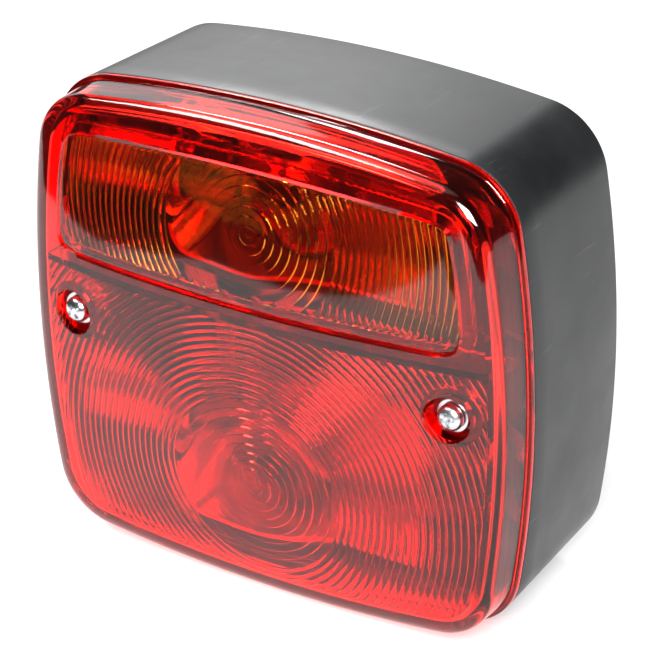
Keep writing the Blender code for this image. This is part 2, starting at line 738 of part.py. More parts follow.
def make_small_screw(name, x, z, seat, slotted=True):
    """Short cheese-head screw driven into a pad on the back wall."""
    profile = [(0.0, 0.0018), (0.0028, 0.0018), (0.0030, 0.0014), (0.0030, 0.0), (0.0014, 0.0),
               (0.0014, -0.0050), (0.0, -0.0050)]
    screw = turned(name, profile, ZINC, (x, -seat, z), (0, -1, 0), steps=SMALL_ROUND)
    if slotted:
        cut(screw, block("slot", (x - 0.004, -seat - 0.003, z - 0.0004),
                         (x + 0.004, -seat - 0.0010, z + 0.0004)))
    return screw


def make_fixing(side):
    """Stud with its captive head inside, and a washer, spring washer and nut behind."""
    name = "left" if side < 0 else "right"
    x = side * STUD_X
    head_low = BACK_WALL + PLAY
    stud = rod(f"mounting_stud_{name}", STUD_RADIUS - 0.00005, (x, STUD_REACH, 0),
               (x, -head_low - 0.001, 0), ZINC, segments=SMALL_ROUND)
    join(stud, rod("stud_head", STUD_HEAD_WIDTH / math.sqrt(3), (x, -head_low, 0), (x, -head_low - 0.0033, 0),
                   segments=6))
    hole = STUD_RADIUS + PLAY
    radius, thickness = FLAT_WASHER
    washer = turned(f"mounting_washer_{name}", hollow_disc(hole, radius, 0.0, thickness), ZINC,
                    (x, PANEL + PLAY, 0), (0, 1, 0), closed=True)
    spring_low = PANEL + PLAY * 2 + thickness
    spring_radius, spring_thickness = SPRING_WASHER
    spring = turned(f"spring_washer_{name}", hollow_disc(hole, spring_radius, 0.0, spring_thickness),
                    SPRING_STEEL, (x, spring_low, 0), (0, 1, 0), closed=True)
    cut(spring, block("split", (x - 0.0003, spring_low - 0.001, 0.0005),
                      (x + 0.0003, spring_low + 0.002, 0.006)))
    nut_low = spring_low + spring_thickness + PLAY
    nut = rod(f"mounting_nut_{name}", STUD_HEAD_WIDTH / math.sqrt(3), (x, nut_low, 0),
              (x, nut_low + NUT_HEIGHT, 0), ZINC, segments=6)
    cut(nut, rod("nut_hole", hole, (x, nut_low - 0.001, 0), (x, nut_low + NUT_HEIGHT + 0.001, 0),
                 segments=SMALL_ROUND))
    hold(washer, spring, nut)
    return stud, washer, spring, nut


def make_grommet():
    """Rubber grommet that snaps into the cable hole with a groove."""
    groove = GROMMET_HOLE - PLAY
    flange = GROMMET_HOLE + 0.0018
    wall = BACK_WALL + PLAY
    profile = [(flange - 0.0006, wall + 0.0016), (flange, wall + 0.0010), (flange, wall), (groove, wall),
               (groove, 0.0003), (CABLE_RADIUS + 0.0006, 0.0003), (CABLE_RADIUS, 0.0008),
               (CABLE_RADIUS, wall + 0.0016)]
    return turned("cable_grommet", profile, FOAM_RUBBER, (0, 0, GROMMET_Z), (0, -1, 0), closed=True)


def main():
    """Build every piece of the lamp."""
    make_housing()
    make_gasket()
    red = make_red_lens()
    amber = make_amber_lens()
    hold(red, amber)
    for side in (-1, 1):
        washer, screw = make_lens_screw(side)
        hold(red, washer)
        make_fixing(side)
    make_partition()
    make_strips()
    for place, z in BULB_Z.items():
        make_reflector(place)
        make_holder(place)
        make_contacts(place)
        make_bulb(place)
        foot_front = STRIP_DEPTH + STRIP_THICKNESS + PLAY + 0.0010
        make_small_screw(f"holder_screw_{place}", HOLDER_FOOT_X, z, foot_front + PLAY)
    for circuit, z in TERMINALS.items():
        make_small_screw(f"terminal_screw_{circuit}", TERMINAL_X, z, STRIP_DEPTH + STRIP_THICKNESS + PLAY)
    make_grommet()


main()
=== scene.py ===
"""Visual model of a square two-bulb trailer tail light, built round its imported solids.

Metres, +Z up, the lens looks along -Y and +X is to the right when facing the lens.
Depth means distance forwards from the flat back face, so a point at depth d has y = -d.
"""
import math

import bmesh
import bpy
import numpy as np
from mathutils import Matrix, Vector


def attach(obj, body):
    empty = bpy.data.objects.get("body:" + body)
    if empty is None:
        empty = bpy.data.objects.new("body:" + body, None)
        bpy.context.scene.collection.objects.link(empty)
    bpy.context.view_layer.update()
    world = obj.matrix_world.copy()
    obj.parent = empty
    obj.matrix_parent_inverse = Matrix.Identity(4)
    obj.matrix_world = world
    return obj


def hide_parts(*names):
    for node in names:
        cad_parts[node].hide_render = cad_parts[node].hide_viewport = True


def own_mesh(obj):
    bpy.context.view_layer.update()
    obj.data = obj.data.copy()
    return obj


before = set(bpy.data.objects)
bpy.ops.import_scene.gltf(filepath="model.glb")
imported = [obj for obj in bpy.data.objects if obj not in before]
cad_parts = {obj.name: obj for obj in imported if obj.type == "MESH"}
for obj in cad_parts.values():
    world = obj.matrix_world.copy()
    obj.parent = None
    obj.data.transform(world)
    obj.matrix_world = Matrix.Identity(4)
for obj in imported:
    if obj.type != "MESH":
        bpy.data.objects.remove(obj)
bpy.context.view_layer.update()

# ---- outline of the lamp ----
WIDTH = 0.110
HEIGHT = 0.1024
CORNER = 0.0145
SIDE_BOW = 0.0027
TOP_BOW = 0.0023
REAR_SCALE = 0.973        # mould draft: back outline against front outline
SIDE_STEPS = 40           # grid steps along one side of the outline, even so that one falls mid-side
CORNER_STEPS = 16

# ---- depths and insets of the shells ----
HOUSING_DEPTH = 0.035
BACK_WALL = 0.0024
SIDE_WALL = 0.0022
LEDGE_DEPTH = 0.031
LEDGE_INSET = 0.0042
SEAT_DEPTH = 0.0353       # underside of the lens lip
SKIRT_DEPTH = 0.0432
SKIRT_INSET = 0.0012
FRONT_INSET = 0.0044
MARGIN_INSET = 0.0050     # where the optics start
LENS_EDGE_DEPTH = 0.0457
LENS_DOME = 0.0050
DOME_HALF_WIDTH = 0.0506
DOME_HALF_HEIGHT = 0.0468
LENS_WALL = 0.0022
TONGUE_INSETS = (0.0026, 0.0040)
TONGUE_DEPTH = 0.0327
EDGE_SWEEP = math.radians(70.5)   # arc of the rounded edge, which runs tangent into the dome
BAND_Z = 0.0110           # lower edge of the plain band under the window

# ---- optics moulded on the inside of the lens ----
EYE = {"upper": 0.0285, "lower": -0.0247}
EYE_RADIUS = 0.0190
EYE_PITCH = 0.0019
EYE_SLOPE = math.radians(12.0)    # slope of the prism facets outside the innermost disc
EYE_DISC = 0.0049
RIB_PITCH = 0.00145
RIB_HEIGHT = 0.00024

# ---- amber window ----
WINDOW_BOTTOM = 0.0151
WINDOW_TOP = 0.0400
WINDOW_HALF_BOTTOM = 0.0454
WINDOW_HALF_TOP = 0.0431
WINDOW_CORNER = 0.0035
WINDOW_BOWS = (0.0, 0.0003, 0.0015, 0.0003)
WINDOW_GAP = 0.00010      # hairline between the amber and the red moulding

# ---- lens screws ----
SCREW_X = 0.0429
SCREW_Z = 0.0014
POCKET_RADIUS = 0.00475
CUP_RADIUS = 0.00605
POCKET_FLOOR = 0.0437
CUP_BACK = 0.0420
BOSS_RADIUS = 0.0060

# ---- bulbs, holders and contacts: bulb axes lie along X ----
BULB_DEPTH = 0.025
CAP_END_X = -0.040
CAP_RADIUS = 0.0075
GLASS_RADIUS = 0.0130
GLASS_TIP_X = 0.0115
PIN_X = -0.0308
SOCKET_INNER = 0.0080
SOCKET_WALL = 0.0007
SOCKET_REAR_X = -0.0470
SOCKET_FRONT_X = -0.0262
HOLDER_FOOT_X = -0.033
TERMINAL_X = 0.038
TERMINALS = {"indicator": 0.021, "stop": -0.012, "tail": -0.026, "earth": -0.040}
PLUNGERS = {"indicator": 0.0285, "stop": -0.0214, "tail": -0.0280}

# ---- fixings on the back ----
STUD_X = 0.0225
GROMMET_Z = -0.033

SMALL = 32                # columns round a small turned piece
LARGE = 72                # columns round a large turned piece


# ================================ mesh helpers ================================

def solid(name, points, faces, finish, sharp=30.0):
    """Closed mesh from points and faces; its faces are turned outwards and its sharp edges kept."""
    used, renumbered = np.unique(np.concatenate([group.ravel() for group in faces]), return_inverse=True)
    lists = []
    start = 0
    for group in faces:
        lists += renumbered[start:start + group.size].reshape(group.shape).tolist()
        start += group.size
    mesh = bpy.data.meshes.new(name)
    mesh.from_pydata(points[used].tolist(), [], lists)
    return settle(name, mesh, finish, sharp)


def settle(name, mesh, finish, sharp=30.0):
    """Turn a mesh's faces outwards, shade it and link it as an object at the origin."""
    shape = bmesh.new()
    shape.from_mesh(mesh)
    bmesh.ops.recalc_face_normals(shape, faces=shape.faces)
    shape.to_mesh(mesh)
    shape.free()
    mesh.shade_smooth()
    mesh.set_sharp_from_angle(angle=math.radians(sharp))
    mesh.materials.clear()
    mesh.materials.append(finish)
    obj = bpy.data.objects.new(name, mesh)
    bpy.context.scene.collection.objects.link(obj)
    return obj


def skin(rows):
    """Triangles between neighbouring rows of an index grid whose columns close into a ring."""
    rows = np.hstack([rows, rows[:, :1]])
    a, b, c, d = rows[:-1, :-1], rows[:-1, 1:], rows[1:, 1:], rows[1:, :-1]
    triangles = np.concatenate([np.stack(corners, -1).reshape(-1, 3) for corners in ((a, b, c), (a, c, d))])
    first, second, third = triangles.T
    return triangles[(first != second) & (second != third) & (third != first)]


def shell(name, grid, finish, ring=False, sharp=30.0):
    """Closed solid from a grid (rows, columns, xyz) whose columns close into rings.

    With ring set the last row joins the first; otherwise each end row is closed by a fan
    to its middle point, unless it is a pole already.
    """
    rows, columns = grid.shape[:2]
    points = grid.reshape(-1, 3)
    index = np.arange(rows * columns).reshape(rows, columns)
    pole = np.ptp(grid, axis=1).max(axis=1) < 1e-9
    index[pole] = index[pole][:, :1]
    if ring:
        index = np.vstack([index, index[:1]])
    else:
        if not pole[0]:
            index = np.vstack([np.full((1, columns), len(points)), index])
            points = np.vstack([points, grid[0].mean(axis=0)])
        if not pole[-1]:
            index = np.vstack([index, np.full((1, columns), len(points))])
            points = np.vstack([points, grid[-1].mean(axis=0)])
    return solid(name, points, [skin(index)], finish, sharp)


def lay(local, place, axis):
    """Stand local points (across, up, height) on a place, their height along an axis."""
    axis = np.array(axis, dtype=float)
    up = np.array((0.0, 0.0, 1.0))
    across = np.cross(up, axis)
    return (np.array(place) + local[..., :1] * across + local[..., 1:2] * up + local[..., 2:] * axis)


def turned(name, profile, finish, place, axis, ring=False, columns=SMALL, sharp=30.0, sides=None):
    """Profile of (radius, height) carried round an axis: (r cos a, r sin a, h)."""
    profile = np.array(profile, dtype=float)
    angle = np.linspace(0.0, math.tau, columns, endpoint=False)
    radius = profile[:, :1] * np.ones(columns)
    if sides:
        radius = np.minimum(radius, sides(angle))
    local = np.stack([radius * np.cos(angle), radius * np.sin(angle), profile[:, 1:] * np.ones(columns)], -1)
    return shell(name, lay(local, place, axis), finish, ring, sharp)


def arc(centre, radius, start, stop, count):
    """Points (r, h) on an arc, for rounding a turned profile; angles in degrees."""
    angle = np.radians(np.linspace(start, stop, count))
    return [(centre[0] + radius * math.cos(a), centre[1] + radius * math.sin(a)) for a in angle]


def tube(name, path, radius, side, finish, columns=10):
    """Round section carried along a path: its two axes are T x side and T x (T x side)."""
    path = np.array(path, dtype=float)
    tangent = np.gradient(path, axis=0)
    tangent /= np.linalg.norm(tangent, axis=1, keepdims=True)
    one = np.cross(tangent, np.array(side, dtype=float))
    one /= np.linalg.norm(one, axis=1, keepdims=True)
    two = np.cross(tangent, one)
    angle = np.linspace(0.0, math.tau, columns, endpoint=False)[None, :, None]
    grid = path[:, None] + radius * (np.cos(angle) * one[:, None] + np.sin(angle) * two[:, None])
    return shell(name, grid, finish, sharp=50.0)


def block(name, low, high, finish, edge=0.0002):
    """Box between two corners with a rounded outline, carried along Y with eased ends."""
    low, high = np.array(low), np.array(high)
    middle, half = (low + high) / 2, (high - low) / 2
    edge = min(edge, half.min() * 0.8)
    angle = np.linspace(0.0, math.tau, 32, endpoint=False)
    sign = np.stack([np.sign(np.cos(angle + 1e-6)), np.sign(np.sin(angle + 1e-6))], -1)
    turn = np.stack([np.cos(angle), np.sin(angle)], -1)
    rows = []
    for eased, y in ((edge, -half[1]), (edge * 0.3, -half[1] + edge * 0.3), (0.0, -half[1] + edge),
                     (0.0, half[1] - edge), (edge * 0.3, half[1] - edge * 0.3), (edge, half[1])):
        flat = sign * (half[[0, 2]] - edge) + turn * edge - sign * eased * 0.7
        rows.append(np.stack([flat[:, 0], np.full(len(flat), y), flat[:, 1]], -1) + middle)
    return shell(name, np.array(rows), finish)


def carve(target, tools, operation="DIFFERENCE", sharp=30.0):
    """Boolean tools into a target and keep the result as the target's own mesh."""
    for tool in tools:
        change = target.modifiers.new(operation.lower(), "BOOLEAN")
        change.operation = operation
        change.solver = "MANIFOLD"
        change.object = tool
    evaluated = target.evaluated_get(bpy.context.evaluated_depsgraph_get())
    mesh = bpy.data.meshes.new_from_object(evaluated)
    target.modifiers.clear()
    finish = target.data.materials[0]
    target.data = mesh
    mesh.name = target.name
    mesh.materials.clear()
    mesh.materials.append(finish)
    mesh.shade_smooth()
    mesh.set_sharp_from_angle(angle=math.radians(sharp))
    for tool in tools:
        bpy.data.objects.remove(tool, do_unlink=True)
    return target


def weld(name, pieces, finish, sharp=30.0):
    """One object from several closed shells that don't touch."""
    shape = bmesh.new()
    for piece in pieces:
        shape.from_mesh(piece.data)
        bpy.data.objects.remove(piece, do_unlink=True)
    mesh = bpy.data.meshes.new(name)
    shape.to_mesh(mesh)
    shape.free()
    return settle(name, mesh, finish, sharp)


def place(obj, body, slot, *nodes):
    """Let a piece ride on a CAD body and stand for CAD nodes; its slot is not used."""
    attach(obj, body)
    if nodes:
        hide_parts(*nodes)
    return obj


# ================================ outlines ================================

def bowed_outline(corners, bows, radius):
    """Closed outline (x, z) round four corner centres.

    Each side is a parabola between two centres, pushed out along its normal by the
    corner radius; arcs about the centres join one side to the next.
    """
    corners = np.array(corners, dtype=float)
    pieces = []
    for index, bow in enumerate(bows):
        start, end, after = corners[index], corners[(index + 1) % 4], corners[(index + 2) % 4]
        half = np.linalg.norm(end - start) / 2
        along = (end - start) / (2 * half)
        out = np.array((along[1], -along[0]))
        t = np.linspace(-1.0, 1.0, SIDE_STEPS + 1)[:, None]
        normal = out * half + along * 2 * bow * t
        normal /= np.linalg.norm(normal, axis=1, keepdims=True)
        pieces.append((start + end) / 2 + along * half * t + out * bow * (1 - t * t) + normal * radius)
        next_half = np.linalg.norm(after - end) / 2
        next_along = (after - end) / (2 * next_half)
        next_out = np.array((next_along[1], -next_along[0]))
        last = next_out * next_half - next_along * 2 * bows[(index + 1) % 4]
        last /= np.linalg.norm(last)
        first_angle = math.atan2(normal[-1, 1], normal[-1, 0])
        turn = (math.atan2(last[1], last[0]) - first_angle) % math.tau
        angle = first_angle + turn * np.arange(1, CORNER_STEPS)[:, None] / CORNER_STEPS
        pieces.append(end + radius * np.hstack([np.cos(angle), np.sin(angle)]))
    return np.concatenate(pieces)


def lamp_outline(inset, scale=1.0):
    """The lamp's own outline, drawn inset from the rim."""
    x = WIDTH / 2 - CORNER - SIDE_BOW
    z = HEIGHT / 2 - CORNER - TOP_BOW
    corners = [(-x, -z), (x, -z), (x, z), (-x, z)]
    return bowed_outline(corners, (TOP_BOW, SIDE_BOW, TOP_BOW, SIDE_BOW), CORNER - inset) * scale


def window_reach(angle, margin):
    """Distance from the upper eye to the window's edge, grown by a margin, in given directions."""
    low, high = WINDOW_BOTTOM + WINDOW_CORNER, WINDOW_TOP - WINDOW_CORNER
    wide, narrow = WINDOW_HALF_BOTTOM - WINDOW_CORNER, WINDOW_HALF_TOP - WINDOW_CORNER
    corners = [(-wide, low), (wide, low), (narrow, high), (-narrow, high)]
    edge = bowed_outline(corners, WINDOW_BOWS, WINDOW_CORNER + margin) - (0.0, EYE["upper"])
    edge_angle = np.arctan2(edge[:, 1], edge[:, 0])
    order = np.argsort(edge_angle)
    return np.interp(angle, edge_angle[order], np.hypot(*edge.T)[order], period=math.tau)


def front_depth(x, z):
    """Depth of the lens front: edge depth plus a dome (1 - (x/a)^2)(1 - (z/b)^2)."""
    across = np.clip(1.0 - (x / DOME_HALF_WIDTH) ** 2, 0.0, 1.0)
    along = np.clip(1.0 - (z / DOME_HALF_HEIGHT) ** 2, 0.0, 1.0)
    return LENS_EDGE_DEPTH + LENS_DOME * across * along


def at_depth(flat, depth):
    """Points (x, z) placed at a depth, which may differ from point to point."""
    return np.stack([flat[..., 0], -np.broadcast_to(depth, flat.shape[:-1]), flat[..., 1]], -1)


def draft(depth):
    """Scale of the housing outline at a depth, from mould draft."""
    return REAR_SCALE + (1.0 - REAR_SCALE) * min(depth / HOUSING_DEPTH, 1.0)


# ================================ lens optics ================================

def ring_levels(longest):
    """Radii at which the optics are sampled: four per prism ring, then six per rib."""
    rings = int(round(EYE_RADIUS / EYE_PITCH))
    prism = (np.arange(rings)[:, None] + np.array([0.04, 0.35, 0.65, 0.96])).ravel() * EYE_PITCH
    ribs = int((longest - EYE_RADIUS) / RIB_PITCH) + 1
    rib = EYE_RADIUS + (np.arange(ribs)[:, None] + np.arange(6) / 6).ravel() * RIB_PITCH
    return np.concatenate([prism, rib])


def optic_height(radius):
    """Height of the optics on the inner face.

    Within the eye each ring is a prism, tallest at its inner edge, whose slope grows over
    the innermost disc; outside it each rib is a parabola across its pitch.
    """
    fraction = (radius / EYE_PITCH) % 1.0
    slope = np.tan(EYE_SLOPE * np.minimum(radius / EYE_DISC, 1.0))
    prism = EYE_PITCH * slope * (1.0 - fraction)
    across = 2.0 * (((radius - EYE_RADIUS) / RIB_PITCH) % 1.0) - 1.0
    rib = RIB_HEIGHT * (1.0 - across * across)
    return np.where(radius < EYE_RADIUS, prism, rib)


def polar_sheet(points, rim, centre, levels, depth_of):
    """Rings about a centre (x, z), cut off at a rim of existing points.

    Each column runs from the centre straight to one rim point. A level that lies beyond
    the rim is replaced by the rim point, so every ring keeps its true radius.
    """
    rim_flat = points[rim][:, [0, 2]]
    away = rim_flat - centre
    reach = np.hypot(*away.T)
    flat = centre + levels[:, None, None] * (away / reach[:, None])
    made = at_depth(flat, depth_of(flat, levels[:, None] * np.ones(len(rim))))
    middle = np.array([[centre]])
    tip = at_depth(middle, depth_of(middle, np.zeros((1, 1))))[0]
    index = len(points) + 1 + np.arange(made.size // 3).reshape(made.shape[:2])
    index = np.where(levels[:, None] < reach - 0.00015, index, rim)
    rows = np.vstack([np.full((1, len(rim)), len(points)), index, rim])
    return np.vstack([points, tip, made.reshape(-1, 3)]), skin(rows)


def smooth_front(flat, radius):
    """Outer face of the lens: the plain dome."""
    return front_depth(flat[..., 0], flat[..., 1])


def ribbed_back(flat, radius, wall=LENS_WALL):
    """Inner face of the lens: the dome less the wall, with the optics standing on it."""
    return front_depth(flat[..., 0], flat[..., 1]) - wall - optic_height(radius)


def rim_profile():
    """Rows (inset, depth) of the rim, from the front margin out round the edge and in again."""
    reach = (FRONT_INSET - SKIRT_INSET) / (1.0 - math.cos(EDGE_SWEEP))
    rise = (LENS_EDGE_DEPTH - SKIRT_DEPTH) / math.sin(EDGE_SWEEP)
    rows = []
    for t in np.linspace(EDGE_SWEEP, 0.0, 12):
        rows.append((SKIRT_INSET + reach * (1 - math.cos(t)), SKIRT_DEPTH + rise * math.sin(t)))
    lip = SEAT_DEPTH + 0.0010
    rows += [(0.00115, 0.0415), (0.00105, 0.0395), (0.00095, 0.0380), (0.00088, lip + 0.0004)]
    rows += [(0.00078, lip + 0.0001), (0.00065, lip), (0.00022, lip), (0.00006, lip - 0.00006)]
    rows += [(0.0, lip - 0.0002), (0.0, SEAT_DEPTH + 0.0002), (0.00006, SEAT_DEPTH + 0.00006)]
    rows += [(0.0002, SEAT_DEPTH), (TONGUE_INSETS[0], SEAT_DEPTH), (TONGUE_INSETS[0], TONGUE_DEPTH + 0.0003)]
    rows += [(TONGUE_INSETS[0] + 0.0003, TONGUE_DEPTH), (TONGUE_INSETS[1] - 0.0003, TONGUE_DEPTH)]
    rows += [(TONGUE_INSETS[1], TONGUE_DEPTH + 0.0003), (TONGUE_INSETS[1], 0.0424)]
    rows += [(0.0042, 0.0430), (0.0046, 0.0433)]
    return rows


def make_red_lens(finish):
    """Red moulding: rim, plain frame round the window, and the lower plate with its optics.

    All sheets share their edge points, so the moulding is one closed shell: outer skin,
    window opening and inner skin. Screw pockets are cut into it afterwards.
    """
    margin = lamp_outline(MARGIN_INSET)
    count = len(margin)
    offset = np.abs(margin[:, 1] - BAND_Z)
    right = np.argmin(np.where(margin[:, 0] > 0, offset, 1.0))
    left = np.argmin(np.where(margin[:, 0] < 0, offset, 1.0))
    band = np.linspace(margin[right], margin[left], 52)[1:-1]
    flat = np.vstack([margin, band])
    depth = front_depth(*flat.T)
    points = np.vstack([at_depth(flat, depth), at_depth(flat, depth - LENS_WALL)])
    margin_index = np.arange(count)
    band_index = count + np.arange(len(band))
    lower = np.concatenate([margin_index[left:], margin_index[:right + 1], band_index])
    upper = np.concatenate([margin_index[right:left + 1], band_index[::-1]])

    away = flat[upper] - (0.0, EYE["upper"])
    angle = np.arctan2(away[:, 1], away[:, 0])
    edge = window_reach(angle, 0.0)
    window = np.stack([edge * np.cos(angle), EYE["upper"] + edge * np.sin(angle)], -1)
    faces = []
    ends = []
    for side in (0, 1):
        rows = []
        for part, chamfer in ((0.0, 0.00012), (0.06, 0.0), (0.33, 0.0), (0.67, 0.0)):
            middle = window + (flat[upper] - window) * part
            rows.append(len(points) + np.arange(len(middle)))
            level = front_depth(*middle.T) - side * LENS_WALL - (1 - side) * chamfer
            points = np.vstack([points, at_depth(middle, level)])
        rows.append(upper + side * len(flat))
        faces.append(skin(np.array(rows)))
        ends.append(rows[0])
    faces.append(skin(np.array(ends)))

    centre = np.array((0.0, EYE["lower"]))
    points, made = polar_sheet(points, lower, centre, np.linspace(0.0012, 0.064, 42), smooth_front)
    faces.append(made)
    points, made = polar_sheet(points, lower + len(flat), centre, ring_levels(0.064), ribbed_back)
    faces.append(made)

    fitted = front_depth(*lamp_outline(FRONT_INSET).T) - LENS_EDGE_DEPTH
    rows = [margin_index]
    for inset, level in rim_profile():
        lift = fitted * np.clip((level - SKIRT_DEPTH) / (LENS_EDGE_DEPTH - SKIRT_DEPTH), 0.0, 1.0)
        rows.append(len(points) + margin_index)
        points = np.vstack([points, at_depth(lamp_outline(inset), level + lift)])
    rows.append(margin_index + len(flat))
    faces.append(skin(np.array(rows)))
    lens = solid("red_lens", points, faces, finish)

    additions = [lens_cup(side, CUP_RADIUS, CUP_BACK, -0.0011, finish) for side in (-1, 1)]
    additions.append(partition_rib(finish))
    carve(lens, additions, "UNION")
    cuts = [lens_cup(side, POCKET_RADIUS, POCKET_FLOOR, 0.004, finish) for side in (-1, 1)]
    cuts += [lens_cup(side, 0.0020, 0.0400, -0.0015, finish) for side in (-1, 1)]
    return carve(lens, cuts), angle


def lens_cup(side, radius, back, proud, finish):
    """Cylinder on a lens screw's axis from a depth to the domed front, plus or minus a bit."""
    angle = np.linspace(0.0, math.tau, LARGE, endpoint=False)
    flat = np.stack([side * SCREW_X + radius * np.cos(angle), SCREW_Z + radius * np.sin(angle)], -1)
    rows = [at_depth(flat, back), at_depth(flat, front_depth(*flat.T) + proud)]
    return shell("cup", np.array(rows), finish)


def partition_rib(finish):
    """Rib over the partition: an oblong section carried along X, its front inside the dome."""
    x = np.linspace(-0.0500, 0.0500, 60)
    top = front_depth(x, 0.011) - 0.0011
    section = ((0.0, 0.01025), (0.0, 0.01175), (1.0, 0.01175), (1.0, 0.01025))
    rows = np.stack([np.stack([x, -(0.0365 + (top - 0.0365) * part), z + 0 * x], -1)
                     for part, z in section], 1)
    return shell("rib", rows, finish)


def make_amber_lens(angle, finish):
    """Amber window: flush front, flange behind the red frame, and its own round optics."""
    def edge(margin):
        reach = window_reach(angle, margin)
        return np.stack([reach * np.cos(angle), EYE["upper"] + reach * np.sin(angle)], -1)

    face, flange = edge(-WINDOW_GAP), edge(0.0018)
    shoulder = LENS_WALL + 0.0002
    count = len(face)
    eased = edge(-0.0005)
    rows = [at_depth(eased, front_depth(*eased.T)), at_depth(face, front_depth(*face.T) - 0.00015)]
    rows.append(at_depth(face, front_depth(*face.T) - shoulder))
    rows += [at_depth(flange, front_depth(*flange.T) - shoulder - drop) for drop in (0.0, 0.0014)]
    rows.append(at_depth(edge(-0.0006), front_depth(*edge(-0.0006).T) - shoulder - 0.0014))
    rows.append(at_depth(edge(-0.0008), front_depth(*edge(-0.0008).T) - 0.0026))
    points = np.concatenate(rows)
    index = np.arange(len(points)).reshape(len(rows), count)
    centre = np.array((0.0, EYE["upper"]))
    points, front = polar_sheet(points, index[0], centre, np.linspace(0.0012, 0.047, 32), smooth_front)
    points, back = polar_sheet(points, index[-1], centre, ring_levels(0.047),
                               lambda flat, radius: ribbed_back(flat, radius, 0.0026))
    return solid("amber_window", points, [skin(index), front, back], finish)


# ================================ housing ================================

def make_housing(finish):
    """Black box: the outline carried down a wall profile, with bosses, pads and holes."""
    edge = 0.0015
    rows = []
    for t in np.linspace(0.0, math.pi / 2, 9):
        inset = edge * (1 - math.sin(t))
        level = edge * (1 - math.cos(t))
        rows.append(at_depth(lamp_outline(inset, draft(level)), level))
    for level in (0.006, 0.012, 0.018, 0.024, 0.030, HOUSING_DEPTH - 0.0004):
        rows.append(at_depth(lamp_outline(0.0, draft(level)), level))
    rows.append(at_depth(lamp_outline(0.00012), HOUSING_DEPTH - 0.00012))
    rows.append(at_depth(lamp_outline(0.0004), HOUSING_DEPTH))
    rows.append(at_depth(lamp_outline(SIDE_WALL - 0.0002), HOUSING_DEPTH))
    rows.append(at_depth(lamp_outline(SIDE_WALL), HOUSING_DEPTH - 0.0002))
    rows.append(at_depth(lamp_outline(SIDE_WALL), LEDGE_DEPTH))
    rows.append(at_depth(lamp_outline(LEDGE_INSET - 0.0002), LEDGE_DEPTH))
    rows.append(at_depth(lamp_outline(LEDGE_INSET), LEDGE_DEPTH - 0.0002))
    rows.append(at_depth(lamp_outline(LEDGE_INSET), LEDGE_DEPTH - 0.0012))
    for level in (LEDGE_DEPTH - 0.004, 0.018, 0.009, BACK_WALL + 0.0008):
        rows.append(at_depth(lamp_outline(SIDE_WALL, draft(level)), level))
    rows.append(at_depth(lamp_outline(SIDE_WALL + 0.0002, REAR_SCALE), BACK_WALL + 0.0002))
    rows.append(at_depth(lamp_outline(SIDE_WALL + 0.0008, REAR_SCALE), BACK_WALL))
    housing = shell("housing_shell", np.array(rows), finish)
    inside = BACK_WALL - 0.0005
    boss = 0.0417 - inside
    additions = []
    cuts = []
    for side in (-1, 1):
        x = side * SCREW_X
        profile = [(BOSS_RADIUS + 0.0004, 0.0), (BOSS_RADIUS, 0.010), (BOSS_RADIUS, boss - 0.0003),
                   (BOSS_RADIUS - 0.0003, boss)]
        additions.append(turned("boss", profile, finish, (x, -inside, SCREW_Z), (0, -1, 0), columns=48))
        cuts.append(turned("bore", [(0.0013, 0.0), (0.0016, 0.003), (0.0016, 0.024), (0.0022, 0.0248)],
                           finish, (x, -0.0172, SCREW_Z), (0, -1, 0)))
        for offset in (-1, 1):
            z = 0.0110 + offset * 0.00165
            ends = sorted((side * 0.0475, side * (WIDTH / 2 * REAR_SCALE - SIDE_WALL + 0.0003)))
            additions.append(block("guide", (ends[0], -0.0285, z - 0.0006), (ends[1], -inside, z + 0.0006),
                                   finish))
        cuts.append(turned("stud_hole", [(0.0027, -0.003), (0.0027, 0.006)], finish,
                           (side * STUD_X, 0, 0), (0, -1, 0)))
    pads = [(TERMINAL_X, z) for z in TERMINALS.values()] + [(HOLDER_FOOT_X, z) for z in EYE.values()]
    for x, z in pads:
        profile = [(0.0037, 0.0), (0.0035, 0.0035), (0.0033, 0.0064 - inside)]
        additions.append(turned("pad", profile, finish, (x, -inside, z), (0, -1, 0)))
        cuts.append(turned("pad_bore", [(0.0013, 0.0), (0.0013, 0.006)], finish, (x, -0.0016, z), (0, -1, 0)))
    for z in (0.0158, 0.0370, -0.0185, -0.0330):
        additions.append(turned("support", [(0.0016, 0.0), (0.0014, 0.0092 - inside)], finish,
                                (0.020, -inside, z), (0, -1, 0)))
    cuts.append(turned("cable_hole", [(0.0060, -0.003), (0.0060, 0.006)], finish, (0, 0, GROMMET_Z),
                       (0, -1, 0), columns=48))
    carve(housing, additions, "UNION")
    return carve(housing, cuts)


def make_gasket(finish):
    """Foam ring on the ledge: a rounded oblong section carried round the outline."""
    back, front = LEDGE_DEPTH + 0.0003, LEDGE_DEPTH + 0.0014
    outer, inner, ease = SIDE_WALL + 0.0003, TONGUE_INSETS[1], 0.0003
    section = [(outer, back + ease), (outer, front - ease), (outer + ease, front), (inner - ease, front),
               (inner, front - ease), (inner, back + ease), (inner - ease, back), (outer + ease, back)]
    rows = [at_depth(lamp_outline(inset), level) for inset, level in section]
    return shell("gasket_ring", np.array(rows), finish, ring=True, sharp=60.0)


# ================================ fasteners ================================

def thread_rows(radius, pitch, low, high, columns, depth=None):
    """Thread as a grid: radius less a triangle wave of (height / pitch - angle / one turn)."""
    depth = depth or pitch * 0.55
    angle = np.linspace(0.0, math.tau, columns, endpoint=False)
    height = np.linspace(low, high, int(abs(high - low) / pitch * 8) + 2)[:, None]
    wave = 2.0 * np.abs((height / pitch - angle / math.tau) % 1.0 - 0.5)
    fade = np.clip(np.minimum(height - min(low, high), max(low, high) - height) / pitch, 0.0, 1.0)
    across = radius - depth * (1.0 - wave * fade)
    return np.stack([across * np.cos(angle), across * np.sin(angle), height * np.ones(columns)], -1)


